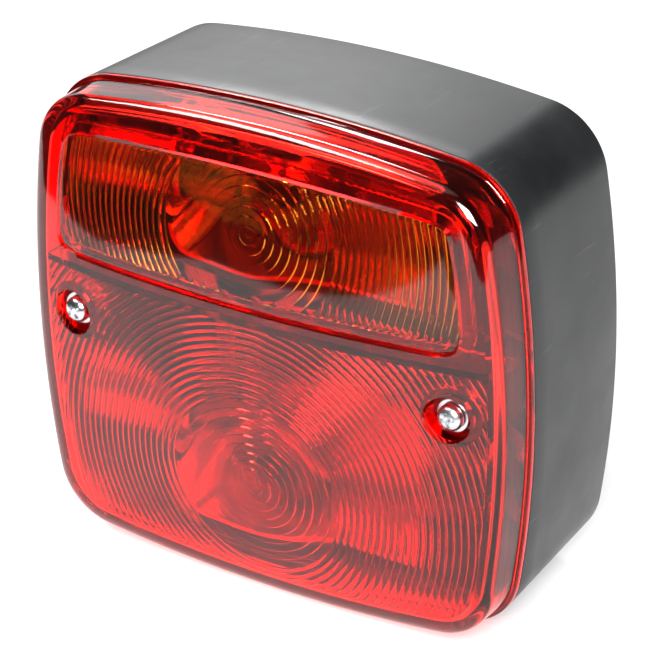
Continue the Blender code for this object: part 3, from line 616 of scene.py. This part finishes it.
def round_rows(profile, columns):
    """Profile of (radius, height) as rows of a grid."""
    profile = np.array(profile, dtype=float)
    angle = np.linspace(0.0, math.tau, columns, endpoint=False)
    return np.stack([profile[:, :1] * np.cos(angle), profile[:, :1] * np.sin(angle),
                     profile[:, 1:] * np.ones(columns)], -1)


def screw(name, head, radius, pitch, length, place_at, axis, recess, finish):
    """Screw: a turned head, a threaded shank with a point, and a driver recess cut in."""
    columns = 32
    rows = np.concatenate([round_rows(head, columns), round_rows([(radius * 0.85, 0.0)], columns),
                           thread_rows(radius, pitch, -0.0004, -length + radius, columns),
                           round_rows([(radius * 0.4, -length + 0.0004), (0.0, -length)], columns)])
    made = shell(name, lay(rows, place_at, axis), finish, sharp=35.0)
    return carve(made, recess, sharp=35.0)


def cross_recess(place_at, top, reach, width, deep, finish, turn):
    """Cross-shaped driver recess: two tapered bars sunk into a head that faces -Y."""
    tools = []
    for quarter in (0.0, math.pi / 2):
        rows = []
        for level, shrink in ((0.0010, 1.15), (-deep * 0.5, 0.86), (-deep, 0.45)):
            corners = np.array([(-reach, -width), (reach, -width), (reach, width), (-reach, width)]) * shrink
            angle = turn + quarter
            spun = np.stack([corners[:, 0] * math.cos(angle) - corners[:, 1] * math.sin(angle),
                             corners[:, 0] * math.sin(angle) + corners[:, 1] * math.cos(angle)], -1)
            rows.append(at_depth(spun + (place_at[0], place_at[2]), -place_at[1] + top + level))
        tools.append(shell("bar", np.array(rows), finish))
    return tools


def make_lens_screws(zinc):
    """Pan-head screws and plain washers that hold the lens."""
    for side, name, turn in ((-1, "left", 0.55), (1, "right", 0.25)):
        x = side * SCREW_X
        seat = (x, -0.0450, SCREW_Z)
        head = [(0.0, 0.00200), (0.0008, 0.00197), (0.0015, 0.00184), (0.0021, 0.00155), (0.00248, 0.00112),
                (0.00265, 0.0006), (0.00265, 0.00012), (0.00255, 0.0)]
        recess = cross_recess(seat, 0.0020, 0.00165, 0.00042, 0.0013, zinc, turn)
        made = screw(f"pan_head_screw_{name}", head, 0.0015, 0.0013, 0.0245, seat, (0, -1, 0), recess, zinc)
        place(made, f"lens_screw_{name}", "zinc_plated_steel", f"lens_screw_{name}")
        ring = [(0.0019, 0.0), (0.0033, 0.0), (0.0034, 0.0001), (0.0034, 0.0006), (0.0033, 0.0007),
                (0.0019, 0.0007)]
        washer = turned(f"screw_washer_{name}", ring, zinc, (x, -0.0440, SCREW_Z), (0, -1, 0), ring=True,
                        columns=48)
        place(washer, f"lens_washer_{name}", "zinc_plated_steel", f"lens_washer_{name}")


def make_small_screws(zinc):
    """Slotted cheese-head screws: four terminals and the two holder screws."""
    sites = [(f"terminal_screw_{circuit}", TERMINAL_X, z, 0.0076, f"terminal_screw_{circuit}")
             for circuit, z in TERMINALS.items()]
    sites += [(f"holder_screw_{where}", HOLDER_FOOT_X, z, 0.0089, "housing") for where, z in EYE.items()]
    for node, x, z, seat, body in sites:
        head = [(0.0, 0.0018), (0.0026, 0.0018), (0.0029, 0.0016), (0.0030, 0.0013), (0.0030, 0.00015),
                (0.00285, 0.0)]
        slot = block("slot", (x - 0.004, -seat - 0.003, z - 0.0004), (x + 0.004, -seat - 0.0009, z + 0.0004),
                     zinc, 0.00002)
        made = screw(f"cheese_{node}", head, 0.00125, 0.0006, 0.0049, (x, -seat, z), (0, -1, 0), [slot], zinc)
        place(made, body, "zinc_plated_steel", node)


def make_fixings(zinc, spring_steel):
    """Threaded studs with captive hexagon heads, washers, split washers and nuts."""
    def hexagon(across):
        """Distance to a hexagon's side in each direction."""
        return lambda angle: across / 2 / np.cos((angle + math.pi / 6) % (math.pi / 3) - math.pi / 6)

    for side, name in ((-1, "left"), (1, "right")):
        x = side * STUD_X
        rows = np.concatenate([round_rows([(0.0020, 0.0179)], 32),
                               thread_rows(0.00245, 0.0008, 0.0178, -0.0012, 32, 0.00042),
                               round_rows([(0.0022, -0.0020)], 32)])
        stud = shell("thread", lay(rows, (x, 0, 0), (0, 1, 0)), zinc, sharp=40.0)
        head = turned("head", [(0.0038, 0.0), (0.0046, 0.0003), (0.0046, 0.0030), (0.0038, 0.0033)], zinc,
                      (x, -0.0027, 0), (0, -1, 0), columns=72, sides=hexagon(0.008))
        carve(stud, [head], "UNION", sharp=35.0)
        stud.name = f"threaded_stud_{name}"
        place(stud, "housing", "zinc_plated_steel", f"mounting_stud_{name}")
        ring = [(0.0027, 0.0), (0.0049, 0.0), (0.0050, 0.0001), (0.0050, 0.0009), (0.0049, 0.0010),
                (0.0027, 0.0010)]
        washer = turned(f"flat_washer_{name}", ring, zinc, (x, 0.0023, 0), (0, 1, 0), ring=True, columns=64)
        place(washer, f"mounting_washers_{name}", "zinc_plated_steel", f"mounting_washer_{name}")
        turn = np.linspace(math.radians(94), math.radians(446), 90)
        section = np.array([(0.0028, 0.0001), (0.0029, 0.0), (0.0043, 0.0), (0.0044, 0.0001),
                            (0.0044, 0.0010), (0.0043, 0.0011), (0.0029, 0.0011), (0.0028, 0.0010)])
        rise = (turn - turn[0]) / math.tau * 0.0001
        rows = np.stack([section[:, 0] * np.cos(turn)[:, None], section[:, 0] * np.sin(turn)[:, None],
                         section[:, 1] + rise[:, None]], -1)
        split = shell(f"split_washer_{name}", lay(rows, (x, 0.0036, 0), (0, 1, 0)), spring_steel)
        place(split, f"mounting_washers_{name}", "spring_steel", f"spring_washer_{name}")
        outside = [(0.0039, 0.0), (0.0046, 0.0005), (0.0046, 0.0035), (0.0039, 0.0040)]
        nut = turned(f"hexagon_nut_{name}", outside, zinc, (x, 0.0051, 0), (0, 1, 0), columns=72,
                     sides=hexagon(0.008))
        bore = lay(np.concatenate([round_rows([(0.0030, -0.0005), (0.0030, 0.0001)], 32),
                                   thread_rows(0.0028, 0.0008, 0.0003, 0.0037, 32, 0.0003),
                                   round_rows([(0.0030, 0.0039), (0.0030, 0.0045)], 32)]),
                   (x, 0.0051, 0), (0, 1, 0))
        carve(nut, [shell("bore", bore, zinc)], sharp=35.0)
        place(nut, f"mounting_nut_{name}", "zinc_plated_steel", f"mounting_nut_{name}")


def make_grommet(finish):
    """Rubber grommet: a grooved profile with soft corners, turned about the cable's axis."""
    profile = ([(0.0040, 0.0003), (0.0057, 0.0003), (0.0057, 0.0027), (0.0078, 0.0027)]
               + arc((0.0072, 0.0037), 0.0006, 0, 90, 6) + arc((0.0040, 0.0037), 0.0006, 90, 180, 6)
               + [(0.0034, 0.0008)])
    grommet = turned("rubber_grommet", profile, finish, (0, 0, GROMMET_Z), (0, -1, 0), ring=True,
                     columns=LARGE, sharp=50.0)
    place(grommet, "housing", "rubber", "cable_grommet")


# ================================ inside ================================

def make_partition(finish):
    """Black plate between the two chambers."""
    plate = block("partition_plate", (-0.0501, -0.0280, 0.01025), (0.0501, -0.0079, 0.01175), finish, 0.0003)
    place(plate, "housing", "black_abs", "chamber_partition")


def make_reflectors(finish):
    """Trays behind the bulbs: a rounded oblong whose size grows along a smooth flare."""
    for where, z in EYE.items():
        half = {"upper": 0.0140, "lower": 0.0180}[where]
        low_x, high_x = -0.0255, 0.0300
        corner = 0.005

        def rectangle(grow, depth):
            left, right = low_x - grow + corner, high_x + grow - corner
            low, high = z - half - grow + corner, z + half + grow - corner
            corners = [(left, low), (right, low), (right, high), (left, high)]
            return at_depth(bowed_outline(corners, (0.0001,) * 4, corner), depth)

        flare = np.linspace(0.0, 1.0, 14)
        grow = -0.0045 + 0.0060 * np.sin(flare * math.pi / 2) ** 0.8
        depth = 0.0095 + 0.0205 * (1 - np.cos(flare * math.pi / 2)) ** 1.1
        outer = [rectangle(a, b) for a, b in zip(grow, depth)]
        inner = [rectangle(a - 0.0008, max(b, 0.0105)) for a, b in zip(grow[::-1], depth[::-1])]
        tray = shell(f"reflector_tray_{where}", np.array(outer + inner), finish, sharp=40.0)
        notch = block("notch", (low_x - 0.008, -0.031, z - 0.0105), (low_x + 0.005, -0.0125, z + 0.0105),
                      finish, 0.0015)
        carve(tray, [notch], sharp=40.0)
        place(tray, "housing", "metallised_plastic", f"reflector_{where}")


def make_holders(finish):
    """Bayonet sockets: a rolled tube with a flared mouth, J slots, a bent leg and a foot."""
    for where, z in EYE.items():
        outer = SOCKET_INNER + SOCKET_WALL
        length = SOCKET_FRONT_X - SOCKET_REAR_X
        profile = ([(outer, 0.0002), (outer - 0.0002, 0.0), (SOCKET_INNER, 0.0),
                    (SOCKET_INNER, length - 0.0010)]
                   + arc((SOCKET_INNER + 0.0010, length - 0.0010), 0.0010, 180, 90, 5)
                   + [(outer + 0.0014, length), (outer + 0.0014, length - 0.0008)]
                   + arc((outer + 0.0006, length - 0.0014), 0.0006, 90, 180, 5))
        socket = turned(f"bayonet_socket_{where}", profile, finish, (SOCKET_REAR_X, -BULB_DEPTH, z),
                        (1, 0, 0), ring=True, columns=LARGE)
        leg = block("leg", (-0.0462, -0.01665, z - 0.0042), (-0.0452, -0.0076, z + 0.0042), finish)
        foot = block("foot", (-0.0457, -0.0086, z - 0.0042), (HOLDER_FOOT_X + 0.0042, -0.0076, z + 0.0042),
                     finish)
        carve(socket, [leg, foot], "UNION")
        cuts = [turned("foot_hole", [(0.0017, 0.0), (0.0017, 0.006)], finish, (HOLDER_FOOT_X, -0.005, z),
                       (0, -1, 0))]
        slot = 0.0014
        for side in (-1, 1):
            for step in range(7):
                turn = math.radians(20) * step / 6
                end = SOCKET_FRONT_X + 0.001 if step == 6 else PIN_X + slot
                rows = []
                for reach in (0.0060, 0.0115):
                    rear = PIN_X - slot
                    corners = np.array([(rear, -slot), (end, -slot), (end, slot), (rear, slot)])
                    across, up = corners[:, 1], side * reach
                    y = across * math.cos(turn) - up * math.sin(turn) - BULB_DEPTH
                    height = across * math.sin(turn) + up * math.cos(turn) + z
                    rows.append(np.stack([corners[:, 0], y, height], -1))
                cuts.append(shell("pin_slot", np.array(rows), finish))
        carve(socket, cuts)
        place(socket, "housing", "zinc_plated_steel", f"bulb_holder_{where}")


def make_contacts(brass, fibre, spring_steel):
    """Fibre discs, brass plungers and their coil springs."""
    for where, circuits in (("upper", ("indicator",)), ("lower", ("stop", "tail"))):
        z = EYE[where]
        rear = SOCKET_REAR_X + 0.0003
        disc = turned(f"fibre_disc_{where}", [(0.0, 0.0), (0.0076, 0.0), (0.0077, 0.0001), (0.0077, 0.0011),
                                              (0.0076, 0.0012), (0.0, 0.0012)], fibre,
                      (rear, -BULB_DEPTH, z), (1, 0, 0), columns=LARGE)
        holes = [turned("stem_hole", [(0.0013, -0.002), (0.0013, 0.004)], fibre,
                        (rear, -BULB_DEPTH, PLUNGERS[circuit]), (1, 0, 0)) for circuit in circuits]
        carve(disc, holes)
        place(disc, "housing", "fibre_board", f"contact_insulator_{where}")
        for circuit in circuits:
            at = PLUNGERS[circuit]
            front = CAP_END_X - 0.0003
            profile = ([(0.0, 0.0), (0.0012, 0.0)] + arc((0.0014, -0.0006), 0.0006, 90, 0, 5)
                       + [(0.0020, -0.0014), (0.0010, -0.0014), (0.0010, -0.0070), (0.0008, -0.0072),
                          (0.0, -0.0072)])
            plunger = turned(f"brass_plunger_{circuit}", profile, brass, (front, -BULB_DEPTH, at), (1, 0, 0))
            place(plunger, f"plunger_{circuit}", "brass", f"contact_plunger_{circuit}")
            start, end = rear + 0.0016, front - 0.0018
            part = np.linspace(0.0, 1.0, 121)
            turn = part * 5 * math.tau
            eased = np.clip((part - 0.08) / 0.84, 0.0, 1.0)
            path = np.stack([start + (end - start) * eased, -BULB_DEPTH + 0.0015 * np.cos(turn),
                             at + 0.0015 * np.sin(turn)], -1)
            spring = tube(f"coil_spring_{circuit}", path, 0.00017, (1, 0, 0), spring_steel, 8)
            place(spring, "housing", "spring_steel", f"contact_spring_{circuit}")
            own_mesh(spring)


def make_bulbs(brass, glass, tungsten):
    """Bayonet bulbs: brass cap with pins, blown glass, and coiled filaments."""
    for where, z in EYE.items():
        place_at = (CAP_END_X, -BULB_DEPTH, z)
        wall = 0.0005
        profile = ([(0.0, 0.0026), (CAP_RADIUS - wall, 0.0026), (CAP_RADIUS - wall, 0.0163),
                    (CAP_RADIUS - 0.0002, 0.0165), (CAP_RADIUS, 0.0163), (CAP_RADIUS, 0.0150),
                    (CAP_RADIUS - 0.00025, 0.0146), (CAP_RADIUS - 0.00025, 0.0140), (CAP_RADIUS, 0.0136)]
                   + arc((CAP_RADIUS - 0.0012, 0.0012), 0.0012, 0, -90, 7)
                   + [(0.0040, 0.0), (0.0039, 0.0001), (0.0, 0.0001)])
        cap = turned(f"brass_cap_{where}", profile, brass, place_at, (1, 0, 0), columns=LARGE)
        pins = []
        for side in (-1, 1):
            pin = [(0.0009, 0.0), (0.0009, 0.0017), (0.0007, 0.0019)]
            pins.append(turned("pin", pin, brass, (PIN_X, -BULB_DEPTH, z + side * (CAP_RADIUS - 0.0003)),
                               (0, side, 0)))
        for pin, side in zip(pins, (-1, 1)):
            middle = np.array((PIN_X, -BULB_DEPTH, z + side * (CAP_RADIUS - 0.0003)))
            turn_up = Matrix.Translation(middle) @ Matrix.Rotation(math.pi / 2, 4, "X")
            pin.data.transform(turn_up @ Matrix.Translation(-middle))
        carve(cap, pins, "UNION")
        place(cap, f"bulb_{where}", "brass", f"bulb_cap_{where}")

        neck, neck_x = 0.0066, 0.0045
        middle_x = GLASS_TIP_X - GLASS_RADIUS - CAP_END_X
        outer = [(neck, neck_x), (neck, 0.0166)]
        sweep = np.radians(np.linspace(-50, 90, 34))
        for a in sweep:
            swell = GLASS_RADIUS * math.cos(a)
            outer.append((max(swell, 0.0), middle_x + GLASS_RADIUS * math.sin(a)))
        outer[2] = (outer[2][0], outer[2][1] + 0.0004)
        outer[-1] = (0.0, GLASS_TIP_X - CAP_END_X)
        inner = [(max(r - 0.0006, 0.0), min(h, GLASS_TIP_X - CAP_END_X - 0.0006)) for r, h in outer]
        bulb = turned(f"blown_glass_{where}", outer[::-1] + inner, glass, place_at, (1, 0, 0), columns=LARGE,
                      sharp=60.0)
        place(bulb, f"bulb_{where}", "bulb_glass", f"bulb_glass_{where}")

        coils = {"upper": {"indicator": (0.0, 0.0012)},
                 "lower": {"stop": (0.0026, 0.0012), "tail": (-0.0032, 0.0045)}}
        for circuit, (height, reach) in coils[where].items():
            make_filament(circuit, where, z, -BULB_DEPTH + height, reach, tungsten)


def make_filament(circuit, where, z, y, reach, tungsten):
    """Two support wires that curve outwards, and between them a fine coil along Z."""
    root = CAP_END_X + 0.0055
    wires = []
    for side in (-1, 1):
        part = np.linspace(0.0, 1.0, 30)
        x = root + (reach - root) * part
        path = np.stack([x, np.full(30, y), z + side * (0.0022 + 0.0023 * part ** 3)], -1)
        wires.append(tube("wire", path, 0.00022, (0, 1, 0), tungsten, 8))
    turns = 14
    part = np.linspace(0.0, 1.0, turns * 12)
    turn = part * turns * math.tau
    sag = 0.0009 * (1 - (2 * part - 1) ** 2)
    path = np.stack([reach + sag + 0.00042 * np.cos(turn), y + 0.00042 * np.sin(turn),
                     z - 0.0043 + 0.0086 * part], -1)
    wires.append(tube("coil", path, 0.00012, (0, 0, 1), tungsten, 6))
    filament = weld(f"coiled_filament_{circuit}", wires, tungsten, 50.0)
    place(filament, f"bulb_{where}", "tungsten", f"filament_{circuit}")


def make_strips(finish):
    """Carried contact strips get eased edges and the brass finish."""
    for name in ("contact_strip_indicator", "contact_strip_stop", "contact_strip_tail", "earth_strip"):
        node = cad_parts[name]
        node.data.materials.clear()
        node.data.materials.append(finish)
        ease = node.modifiers.new("ease", "BEVEL")
        ease.width = 0.0001
        ease.segments = 1
        ease.limit_method = "ANGLE"


# ================================ materials ================================

def colour(code):
    """Linear RGBA from an sRGB hex code."""
    parts = [int(code[i:i + 2], 16) / 255 for i in (1, 3, 5)]
    return tuple(p / 12.92 if p <= 0.04045 else ((p + 0.055) / 1.055) ** 2.4 for p in parts) + (1.0,)


def add(tree, kind, inputs=None, **settings):
    """Add a node: settings are its properties, inputs give a socket a value or what feeds it."""
    made = tree.nodes.new(kind)
    for key, value in settings.items():
        setattr(made, key, value)
    for key, value in (inputs or {}).items():
        socket = made.inputs[key]
        if isinstance(value, bpy.types.NodeSocket):
            tree.links.new(value, socket)
        else:
            socket.default_value = value
    return made


def begin(name):
    """New empty material with Object coordinates, in metres on a piece at the origin."""
    made = bpy.data.materials.new(name)
    made.use_nodes = True
    made.node_tree.nodes.clear()
    where = add(made.node_tree, "ShaderNodeTexCoord").outputs["Object"]
    return made, made.node_tree, where


def end(tree, shader):
    """Wire a shader to the material's surface."""
    add(tree, "ShaderNodeOutputMaterial", {"Surface": shader.outputs[0]})


def shade(tree, factor, dark, light, low=0.3, high=0.7):
    """Blend of two colours between two levels of a pattern."""
    ramp = add(tree, "ShaderNodeValToRGB", {"Fac": factor})
    ramp.color_ramp.elements[0].position = low
    ramp.color_ramp.elements[0].color = colour(dark)
    ramp.color_ramp.elements[1].position = high
    ramp.color_ramp.elements[1].color = colour(light)
    return ramp.outputs["Color"]


def moulded_acrylic(name, dark, light, shadow):
    """Tinted PMMA, injection moulded in a polished tool: clear, glossy, faintly rippled.

    Ripples are about 6 mm long, from the flow in the mould. Light that reaches the
    inside of the lamp is tinted on its way through.
    """
    made, tree, where = begin(name)
    flow = add(tree, "ShaderNodeTexNoise", {"Vector": where, "Scale": 90.0, "Detail": 1.0})
    tint = shade(tree, flow.outputs[0], dark, light)
    ripple = add(tree, "ShaderNodeTexNoise", {"Vector": where, "Scale": 160.0, "Detail": 0.0})
    bump = add(tree, "ShaderNodeBump", {"Height": ripple.outputs[0], "Strength": 0.12, "Distance": 0.00003})
    body = add(tree, "ShaderNodeBsdfPrincipled", {
        "Base Color": tint, "Roughness": 0.06, "IOR": 1.49, "Transmission Weight": 1.0,
        "Normal": bump.outputs[0]})
    clear = add(tree, "ShaderNodeBsdfTransparent", {"Color": colour(shadow)})
    ray = add(tree, "ShaderNodeLightPath")
    end(tree, add(tree, "ShaderNodeMixShader", {
        0: ray.outputs["Is Shadow Ray"], 1: body.outputs[0], 2: clear.outputs[0]}))
    return made


def black_abs():
    """ABS, injection moulded, satin: a fine tool texture, flow marks and handling scuffs.

    The tool texture is 0.15 mm, drawn at 0.3 mm so that it shows; scuffs are pale
    hairlines some 10 mm long.
    """
    made, tree, where = begin("black_abs_moulded")
    flow = add(tree, "ShaderNodeTexNoise", {"Vector": where, "Scale": 45.0, "Detail": 4.0, "Roughness": 0.6})
    grain = add(tree, "ShaderNodeTexNoise", {"Vector": where, "Scale": 3300.0, "Detail": 2.0})
    tilt = add(tree, "ShaderNodeMapping", {"Vector": where, "Rotation": (0.4, 0.3, 0.7),
                                           "Scale": (900.0, 60.0, 700.0)})
    hair = add(tree, "ShaderNodeTexNoise", {"Vector": tilt.outputs[0], "Scale": 1.0, "Detail": 3.0})
    scuff = add(tree, "ShaderNodeMapRange", {"Value": hair.outputs[0], "From Min": 0.66, "From Max": 0.76})
    base = shade(tree, flow.outputs[0], "#101112", "#1a1b1d")
    worn = add(tree, "ShaderNodeMix", {"Factor": scuff.outputs[0], "A": base, "B": colour("#303234")},
               data_type="RGBA")
    rough = add(tree, "ShaderNodeMapRange", {"Value": flow.outputs[0], "From Min": 0.3, "From Max": 0.7,
                                             "To Min": 0.32, "To Max": 0.48})
    bump = add(tree, "ShaderNodeBump", {"Height": grain.outputs[0], "Strength": 0.3, "Distance": 0.00002})
    end(tree, add(tree, "ShaderNodeBsdfPrincipled", {
        "Base Color": worn.outputs["Result"], "Roughness": rough.outputs[0], "IOR": 1.54,
        "Normal": bump.outputs[0]}))
    return made


def plain(name, dark, light, scale, roughness, metallic=0.0, ior=None, bump_depth=0.00001, stretch=(1, 1, 1)):
    """Opaque finish from one noise pattern, whose scale is one over its grain in metres."""
    made, tree, where = begin(name)
    spread = add(tree, "ShaderNodeMapping", {"Vector": where, "Scale": stretch})
    grain = add(tree, "ShaderNodeTexNoise", {"Vector": spread.outputs[0], "Scale": scale, "Detail": 4.0})
    broad = add(tree, "ShaderNodeTexNoise", {"Vector": where, "Scale": scale / 9, "Detail": 3.0})
    rough = add(tree, "ShaderNodeMapRange", {"Value": broad.outputs[0], "From Min": 0.3, "From Max": 0.7,
                                             "To Min": roughness[0], "To Max": roughness[1]})
    bump = add(tree, "ShaderNodeBump", {"Height": grain.outputs[0], "Strength": 0.5, "Distance": bump_depth})
    inputs = {"Base Color": shade(tree, broad.outputs[0], dark, light), "Roughness": rough.outputs[0],
              "Metallic": metallic, "Normal": bump.outputs[0]}
    if ior:
        inputs["IOR"] = ior
    end(tree, add(tree, "ShaderNodeBsdfPrincipled", inputs))
    return made


def blown_glass():
    """Soda glass, blown: clear and thin, with a barely wavy surface."""
    made, tree, where = begin("soda_glass_blown")
    wave = add(tree, "ShaderNodeTexNoise", {"Vector": where, "Scale": 120.0, "Detail": 1.0})
    bump = add(tree, "ShaderNodeBump", {"Height": wave.outputs[0], "Strength": 0.2, "Distance": 0.00004})
    body = add(tree, "ShaderNodeBsdfPrincipled", {
        "Base Color": shade(tree, wave.outputs[0], "#eef4f3", "#fbfdfd"), "Roughness": 0.0, "IOR": 1.52,
        "Transmission Weight": 1.0, "Normal": bump.outputs[0]})
    clear = add(tree, "ShaderNodeBsdfTransparent", {"Color": colour("#f4f8f7")})
    ray = add(tree, "ShaderNodeLightPath")
    end(tree, add(tree, "ShaderNodeMixShader", {
        0: ray.outputs["Is Shadow Ray"], 1: body.outputs[0], 2: clear.outputs[0]}))
    return made


# ================================ stage ================================

def glow(name, corners, strength, tint="#ffffff"):
    """Softbox: a flat panel between four corners that gives off light from one side."""
    mesh = bpy.data.meshes.new(name)
    mesh.from_pydata([tuple(corner) for corner in corners], [], [(0, 1, 2, 3)])
    made, tree, where = begin(name)
    end(tree, add(tree, "ShaderNodeEmission", {"Color": colour(tint), "Strength": strength}))
    mesh.materials.append(made)
    obj = bpy.data.objects.new(name, mesh)
    bpy.context.scene.collection.objects.link(obj)
    obj.visible_camera = False
    return obj


def panel(name, towards, elevation, distance, wide, tall, strength, tint="#ffffff"):
    """Softbox that faces the lamp from a heading (degrees, 0 along -Y, 90 along +X) and elevation."""
    heading, lift = math.radians(towards), math.radians(elevation)
    out = np.array((math.sin(heading) * math.cos(lift), -math.cos(heading) * math.cos(lift), math.sin(lift)))
    across = np.array((math.cos(heading), math.sin(heading), 0.0))
    up = np.cross(across, -out) * -1.0
    middle = np.array((0.0, -0.03, 0.0)) + out * distance
    corners = [middle + sx * across * wide / 2 + sz * up * tall / 2
               for sx, sz in ((-1, -1), (1, -1), (1, 1), (-1, 1))]
    return glow(name, corners, strength, tint)


def make_stage():
    """Pale floor under the lamp, soft panels round it and a plain pale background."""
    z = -HEIGHT / 2
    mesh = bpy.data.meshes.new("floor")
    corners = [(-0.15, -0.25, z), (0.60, -0.25, z), (0.60, 0.60, z), (-0.60, 0.60, z),
               (-0.60, 0.10, z), (-0.17, -0.16, z)]
    mesh.from_pydata(corners, [], [(0, 1, 2, 3, 4, 5)])
    made, tree, where = begin("matt_white_floor")
    speck = add(tree, "ShaderNodeTexNoise", {"Vector": where, "Scale": 60.0})
    end(tree, add(tree, "ShaderNodeBsdfPrincipled", {
        "Base Color": shade(tree, speck.outputs[0], "#a8a8a8", "#aeaeae"), "Roughness": 0.9,
        "Emission Color": colour("#ffffff"), "Emission Strength": 0.35}))
    mesh.materials.append(made)
    floor = bpy.data.objects.new("floor", mesh)
    bpy.context.scene.collection.objects.link(floor)

    panel("overhead_softbox", -40, 72, 0.9, 0.7, 0.7, 1.0)
    panel("front_softbox", 32, 32, 0.9, 0.4, 0.4, 54.0)
    panel("back_left_softbox", -136, 22, 0.8, 0.75, 0.36, 1.9)
    panel("strip_softbox_back", -138, 46, 0.7, 0.24, 0.14, 26.0)
    panel("strip_softbox_side", -54, 51, 0.7, 0.34, 0.17, 26.0)

    world = bpy.data.worlds.new("pale_background")
    world.use_nodes = True
    tree = world.node_tree
    tree.nodes.clear()
    ray = add(tree, "ShaderNodeLightPath")
    dim = add(tree, "ShaderNodeBackground", {"Color": colour("#ffffff"), "Strength": 0.05})
    pale = add(tree, "ShaderNodeBackground", {"Color": colour("#ffffff"), "Strength": 1.0})
    both = add(tree, "ShaderNodeMixShader", {
        0: ray.outputs["Is Camera Ray"], 1: dim.outputs[0], 2: pale.outputs[0]})
    add(tree, "ShaderNodeOutputWorld", {"Surface": both.outputs[0]})
    bpy.context.scene.world = world
    bpy.context.scene.view_settings.view_transform = "Standard"


def make_camera():
    """Long lens from the front right and above, rolled a little."""
    heading, lift, roll = math.radians(33.687), math.radians(27.368), math.radians(-1.369)
    target = Vector((0.00866, -0.035, 0.00682))
    back = Vector((math.sin(heading) * math.cos(lift), -math.cos(heading) * math.cos(lift), math.sin(lift)))
    level = Vector((math.cos(heading), math.sin(heading), 0.0))
    upright = back.cross(level)
    right = level * math.cos(roll) + upright * math.sin(roll)
    up = upright * math.cos(roll) - level * math.sin(roll)
    data = bpy.data.cameras.new("camera")
    data.lens = 172.96
    data.sensor_width = 36.0
    data.clip_start = 0.01
    camera = bpy.data.objects.new("camera", data)
    turn = Matrix((right, up, back)).transposed().to_4x4()
    camera.matrix_world = Matrix.Translation(target + back * 0.5965) @ turn
    bpy.context.scene.collection.objects.link(camera)
    bpy.context.scene.camera = camera


def main():
    """Build every piece, then the stage."""
    red = moulded_acrylic("red_acrylic_moulded", "#f8281f", "#ff3026", "#ff3428")
    amber = moulded_acrylic("amber_acrylic_moulded", "#f0801e", "#f88a24", "#ff9434")
    abs_black = black_abs()
    # vulcanised rubber, moulded: matt, slightly dusty
    rubber = plain("rubber_moulded", "#101010", "#1c1c1b", 2500.0, (0.75, 0.9), ior=1.52)
    # aluminium vapour on lacquered plastic: bright, almost a mirror
    mirror = plain("aluminium_metallised", "#d2d4d6", "#e2e4e6", 300.0, (0.10, 0.2), 1.0, bump_depth=0.00002)
    # bright zinc plate on steel: a cool grey with cloudy gloss
    zinc = plain("zinc_plate_on_steel", "#b9bcc0", "#d4d6d8", 1800.0, (0.16, 0.30), 1.0)
    # rolled brass sheet, lightly tarnished
    brass = plain("rolled_brass", "#b48a45", "#d0aa62", 1200.0, (0.22, 0.36), 1.0, stretch=(0.2, 1, 1))
    # drawn tungsten wire: dark grey metal
    tungsten = plain("drawn_tungsten", "#6e6c6a", "#888684", 4000.0, (0.3, 0.45), 1.0)
    # pressed fibre board: red-brown, matt and fibrous
    fibre = plain("fibre_board_pressed", "#5c2c18", "#7a4024", 1500.0, (0.7, 0.85), ior=1.5,
                  bump_depth=0.00004)
    # drawn and tempered spring steel: darker than zinc
    spring = plain("tempered_spring_steel", "#8a8c90", "#a6a8ac", 2200.0, (0.22, 0.36), 1.0)

    lens, columns = make_red_lens(red)
    place(lens, "lens", "red_acrylic", "lens_red")
    place(make_amber_lens(columns, amber), "lens", "amber_acrylic", "lens_amber")
    place(make_housing(abs_black), "housing", "black_abs", "housing")
    place(make_gasket(rubber), "housing", "rubber", "lens_gasket")
    make_lens_screws(zinc)
    make_small_screws(zinc)
    make_fixings(zinc, spring)
    make_grommet(rubber)
    make_partition(abs_black)
    make_reflectors(mirror)
    make_holders(zinc)
    make_contacts(brass, fibre, spring)
    make_bulbs(brass, blown_glass(), tungsten)
    make_strips(brass)
    make_stage()
    make_camera()


main()
